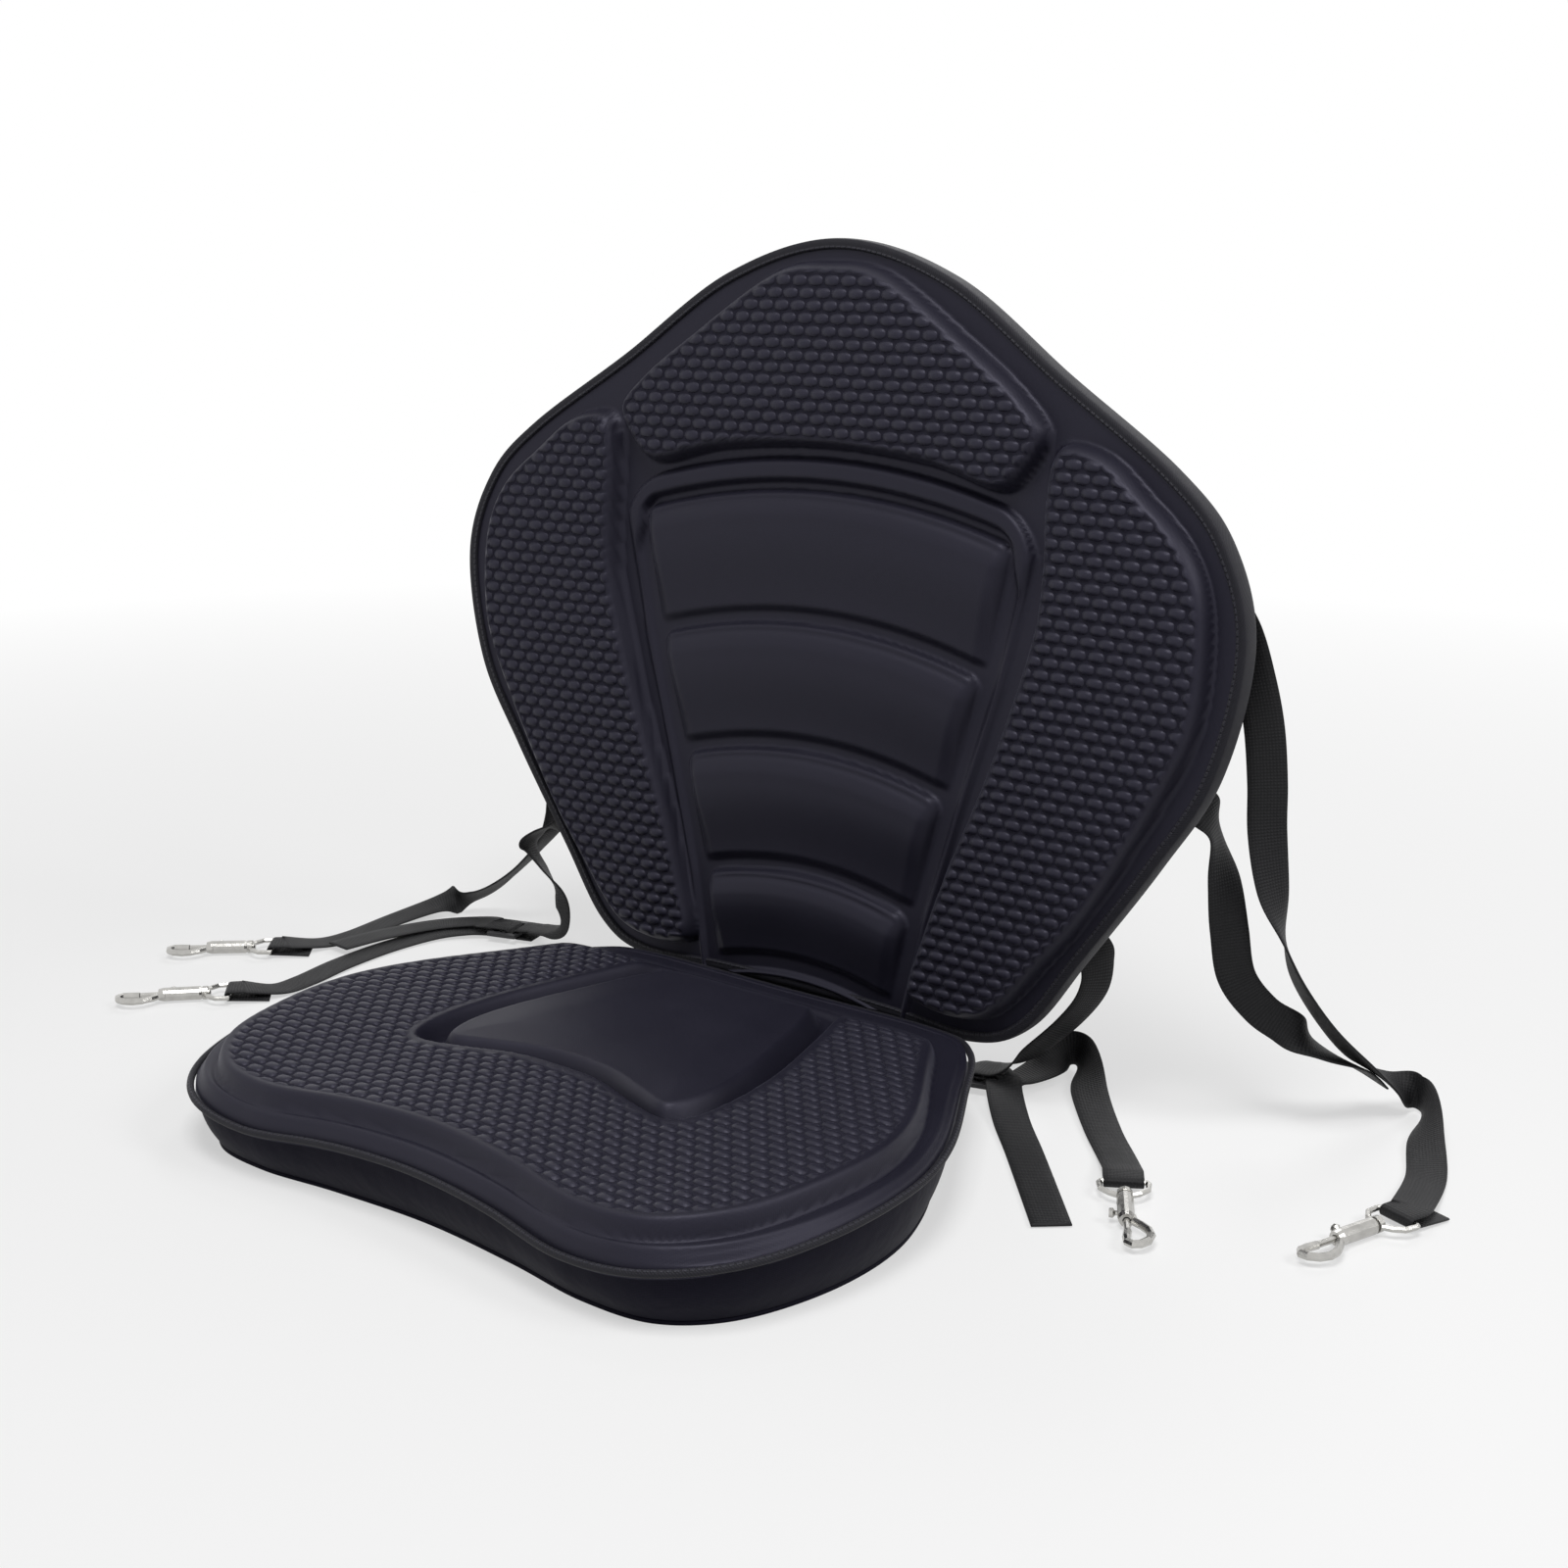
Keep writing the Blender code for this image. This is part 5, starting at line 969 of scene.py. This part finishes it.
class KAYAKSEAT_OT_back_front(StepOperator, bpy.types.Operator):
    """Moulded front of the backrest: top pad and side pads with oval bumps, and four arched ribs"""
    bl_idname = "kayak_seat.back_front"
    bl_label = "Back front"

    def execute(self, context):
        looks, forms = context.scene.kayak_seat_cloth, context.scene.kayak_seat_forms
        flat = patch(back_line(BACK_OUTLINE), 5, 10, 24, forms.back_columns, forms.back_rows)
        u, v = flat[..., 0], flat[..., 1]
        height, mask = back_relief(u, v, forms.groove)
        height = height - (1 - ovals(u, v, looks)) * mask * looks.bump_height
        grid = back_points(u, BACK_PAD_RISE - height, v)
        piece = add_piece("back_front", [(grid[::-1], 0, flat[::-1], mask[::-1], False)],
                          finish_of("moulded_foam_cloth"))
        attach(piece, "backrest")
        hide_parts("back_front_panel")
        return {"FINISHED"}


class KAYAKSEAT_OT_back_shell(StepOperator, bpy.types.Operator):
    """Rear cover of the backrest and the stitched tape round its rim"""
    bl_idname = "kayak_seat.back_shell"
    bl_label = "Back shell"

    def execute(self, context):
        flat = patch(back_line(BACK_OUTLINE), 5, 10, 24, 150, 120)
        u, v = flat[..., 0], flat[..., 1]
        rear = add_piece("back_rear", [(back_points(u, np.full_like(u, REAR_FACE), v), 0, flat, None, False)],
                         finish_of("band_cloth"))
        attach(rear, "backrest")
        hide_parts("back_rear_cover")
        line = back_line(BACK_OUTLINE, 24)
        front, back = BACK_PAD_RISE - GAP - BINDING, REAR_FACE + GAP + BINDING
        half = (back - front) / 2
        section = [(-FRONT_LIP, front + TAPE_ROUND), (-FRONT_LIP + 0.0003, front + TAPE_EDGE)]
        section += [(n, front) for n in np.linspace(-FRONT_LIP + 0.0010, -0.001, 6)]
        section += [(GAP + BINDING * math.cos(a) ** 0.6, front + half + half * math.sin(a))
                    for a in np.linspace(-TAPE_BEND, TAPE_BEND, 11)]
        section += [(n, back) for n in np.linspace(-0.001, -BINDING_LIP + 0.0010, 7)]
        section += [(-BINDING_LIP + 0.0003, back - TAPE_EDGE), (-BINDING_LIP, back - TAPE_ROUND)]
        rings = []
        for out, depth in section:
            place = moved_out(line, out)
            rings.append(back_points(place[:, 0], np.full(len(place), depth), place[:, 1]))
        grid, uv = ring_grid(rings)
        tape = add_piece("back_tape", [(grid, 1, uv, None, False)], finish_of("binding_tape"))
        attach(tape, "backrest")
        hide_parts("back_edge_binding")
        return {"FINISHED"}


class KAYAKSEAT_OT_hinge(StepOperator, bpy.types.Operator):
    """Slack cloth strip between the seat's rear seam and the lower edge of the backrest"""
    bl_idname = "kayak_seat.hinge"
    bl_label = "Cloth hinge"

    def execute(self, context):
        columns, rows = 70, 26
        x = np.linspace(-HINGE_WIDTH / 2, HINGE_WIDTH / 2, columns)
        line = back_line(BACK_OUTLINE, 24)
        bottom = line[line[:, 1] < 0.05 * BACK_HEIGHT]
        bottom = bottom[np.argsort(bottom[:, 0])]
        edge_v = np.interp(x, bottom[:, 0], bottom[:, 1]) - BINDING - 4 * GAP
        top = back_points(x, np.full_like(x, BACK_PAD_RISE + BACK_PANEL), edge_v)
        seam_y = SEAT_REAR + HINGE_CLEAR + 2 * PIPING_RADIUS + 4 * GAP
        seam_z = SEAM_HEIGHT - SEAT_FLANGE / 2
        rings = []
        for share in np.linspace(0, 1, rows):
            sag = HINGE_SAG * math.sin(math.pi * share) ** 0.7
            ripple = RIPPLE * np.sin(x * RIPPLES) * math.sin(math.pi * share)
            rings.append(np.stack((x, seam_y + (top[:, 1] - seam_y) * share,
                                   seam_z + (top[:, 2] - seam_z) * share - sag + ripple), axis=1))
        middle = np.stack(rings)
        cloth = add_piece("hinge_cloth", [(middle, 0, along_uv(middle), None, False)], finish_of("binding_tape"))
        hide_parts("hinge_web")
        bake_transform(cloth)
        return {"FINISHED"}


class KAYAKSEAT_OT_fittings(StepOperator, bpy.types.Operator):
    """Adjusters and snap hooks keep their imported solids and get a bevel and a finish; hidden cores a finish"""
    bl_idname = "kayak_seat.fittings"
    bl_label = "Fittings"

    def execute(self, context):
        for name in ("adjuster_right", "adjuster_left"):
            self.dress(name, "moulded_plastic", 0.0005)
        for strap in STRAPS:
            for part in ("eye", "body", "bolt"):
                self.dress(f"hook_{strap}_{part}", "nickel_plate", 0.0003)
        self.dress("seat_core", "foam", 0)
        self.dress("back_stiffener", "stiffener_board", 0)
        return {"FINISHED"}

    @staticmethod
    def dress(name, slot, width):
        """A node's finish, and its edges broken where a width is given."""
        node = bpy.data.objects[name]
        for place in node.material_slots:
            place.material = finish_of(slot)
        if not width:
            return
        bevel = node.modifiers.new("edges", "BEVEL")
        bevel.width, bevel.segments, bevel.limit_method = width, 2, "ANGLE"
        bevel.angle_limit, bevel.harden_normals = math.radians(32), False


def camera():
    """Camera at the photograph's angle."""
    data = bpy.data.cameras.new("camera")
    data.sensor_width = SENSOR
    data.lens = SENSOR * CAMERA_FOCAL_PIXELS / PHOTO_PIXELS
    data.clip_end = 50
    view = bpy.data.objects.new("camera", data)
    back = Vector((math.sin(CAMERA_YAW) * math.cos(CAMERA_PITCH), -math.cos(CAMERA_YAW) * math.cos(CAMERA_PITCH),
                   math.sin(CAMERA_PITCH)))
    right = Vector((math.cos(CAMERA_YAW), math.sin(CAMERA_YAW), 0))
    up = back.cross(right)
    turned_right = right * math.cos(CAMERA_ROLL) + up * math.sin(CAMERA_ROLL)
    matrix = Matrix((turned_right, back.cross(turned_right), back)).transposed().to_4x4()
    matrix.translation = CAMERA_PLACE
    view.matrix_world = matrix
    bpy.context.scene.collection.objects.link(view)
    bpy.context.scene.camera = view


def floor_material():
    """Pale ground: partly diffuse near the object, so it keeps the shadow, and plain white far off."""
    paint = Paint("floor", (0.88, 0.88, 0.88), Roughness=0.9)
    paint.shader.inputs["Specular IOR Level"].default_value = 0.1
    place = paint.node("ShaderNodeTexCoord").outputs["Object"]
    reach = Field(paint, paint.node("ShaderNodeVectorMath", {"operation": "LENGTH"}).outputs["Value"])
    paint.feed(reach.socket.node.inputs[0], place)
    ray = paint.node("ShaderNodeLightPath")
    seen = Field(paint, ray.outputs["Is Camera Ray"]).most(Field(paint, ray.outputs["Is Glossy Ray"]))
    far = ((reach - 0.5) / 1.3).most(0).least(1)
    glow = paint.node("ShaderNodeEmission", Color=(1, 1, 1, 1), Strength=1.0)
    mix = paint.node("ShaderNodeMixShader")
    paint.feed(mix.inputs[0], seen * (far * 0.45 + 0.55))
    paint.feed(mix.inputs[1], paint.shader.outputs[0])
    paint.feed(mix.inputs[2], glow.outputs[0])
    output = next(n for n in paint.tree.nodes if n.type == "OUTPUT_MATERIAL")
    paint.feed(output.inputs["Surface"], mix.outputs[0])
    return paint.finish(((0.88, 0.88, 0.88), (0.90, 0.90, 0.90)), paint.noise(3))


class KAYAKSEAT_OT_stage(StepOperator, bpy.types.Operator):
    """Camera, pale floor, soft lamps and a white surround"""
    bl_idname = "kayak_seat.stage"
    bl_label = "Stage"

    def execute(self, context):
        forms = context.scene.kayak_seat_forms
        camera()
        half = forms.floor_size / 2
        mesh = bpy.data.meshes.new("floor")
        mesh.from_pydata([(x * half, y * half, -FLOOR_DROP) for x, y in ((-1, -1), (1, -1), (1, 1), (-1, 1))],
                         [], [(0, 1, 2, 3)])
        floor = bpy.data.objects.new("floor", mesh)
        context.scene.collection.objects.link(floor)
        mesh.materials.append(floor_material())
        for name, place, size, power in LAMPS:
            data = bpy.data.lights.new(name, "AREA")
            data.shape, data.size, data.energy = "SQUARE", size, power * forms.lamp_power
            lamp = bpy.data.objects.new(name, data)
            lamp.location = place
            aim = Vector(LAMP_AIM) - Vector(place)
            lamp.rotation_euler = aim.to_track_quat("-Z", "Y").to_euler()
            context.scene.collection.objects.link(lamp)
        world = bpy.data.worlds.new("surround")
        world.use_nodes = True
        tree = world.node_tree
        tree.nodes.clear()
        ray = tree.nodes.new("ShaderNodeLightPath")
        seen = tree.nodes.new("ShaderNodeMath")
        seen.operation = "MAXIMUM"
        tree.links.new(ray.outputs["Is Camera Ray"], seen.inputs[0])
        tree.links.new(ray.outputs["Is Glossy Ray"], seen.inputs[1])
        strength = tree.nodes.new("ShaderNodeMapRange")
        strength.inputs["To Min"].default_value = SURROUND_LIGHT
        strength.inputs["To Max"].default_value = 1.0
        tree.links.new(seen.outputs[0], strength.inputs["Value"])
        ground = tree.nodes.new("ShaderNodeBackground")
        ground.inputs["Color"].default_value = (1, 1, 1, 1)
        tree.links.new(strength.outputs[0], ground.inputs["Strength"])
        output = tree.nodes.new("ShaderNodeOutputWorld")
        tree.links.new(ground.outputs[0], output.inputs["Surface"])
        context.scene.world = world
        context.scene.view_settings.view_transform = "Standard"
        return {"FINISHED"}


OPERATORS = (KAYAKSEAT_OT_stage, KAYAKSEAT_OT_straps, KAYAKSEAT_OT_seat_pad, KAYAKSEAT_OT_seat_shell,
             KAYAKSEAT_OT_back_front, KAYAKSEAT_OT_back_shell, KAYAKSEAT_OT_hinge, KAYAKSEAT_OT_fittings)


class KAYAKSEAT_PT_panel(bpy.types.Panel):
    """Sizes, colours and steps of the kayak seat"""
    bl_idname = "KAYAKSEAT_PT_panel"
    bl_label = "Kayak seat"
    bl_space_type = "VIEW_3D"
    bl_region_type = "UI"
    bl_category = "Kayak seat"

    def draw(self, context):
        for group in (context.scene.kayak_seat_cloth, context.scene.kayak_seat_forms):
            box = self.layout.box()
            for key in group.__annotations__:
                box.prop(group, key)
        for step in OPERATORS:
            self.layout.operator(step.bl_idname)


CLASSES = (ClothLooks, FormLooks, *OPERATORS, KAYAKSEAT_PT_panel)


def register():
    """Adds the classes and the scene's two groups of settings."""
    for item in CLASSES:
        bpy.utils.register_class(item)
    bpy.types.Scene.kayak_seat_cloth = bpy.props.PointerProperty(type=ClothLooks)
    bpy.types.Scene.kayak_seat_forms = bpy.props.PointerProperty(type=FormLooks)


def unregister():
    """Takes them away again."""
    del bpy.types.Scene.kayak_seat_forms
    del bpy.types.Scene.kayak_seat_cloth
    for item in reversed(CLASSES):
        bpy.utils.unregister_class(item)


def main():
    """Registers the add-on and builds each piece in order."""
    register()
    bpy.ops.kayak_seat.stage()
    bpy.ops.kayak_seat.straps()
    bpy.ops.kayak_seat.seat_pad()
    bpy.ops.kayak_seat.seat_shell()
    bpy.ops.kayak_seat.back_front()
    bpy.ops.kayak_seat.back_shell()
    bpy.ops.kayak_seat.hinge()
    bpy.ops.kayak_seat.fittings()


if __name__ == "__main__":
    main()
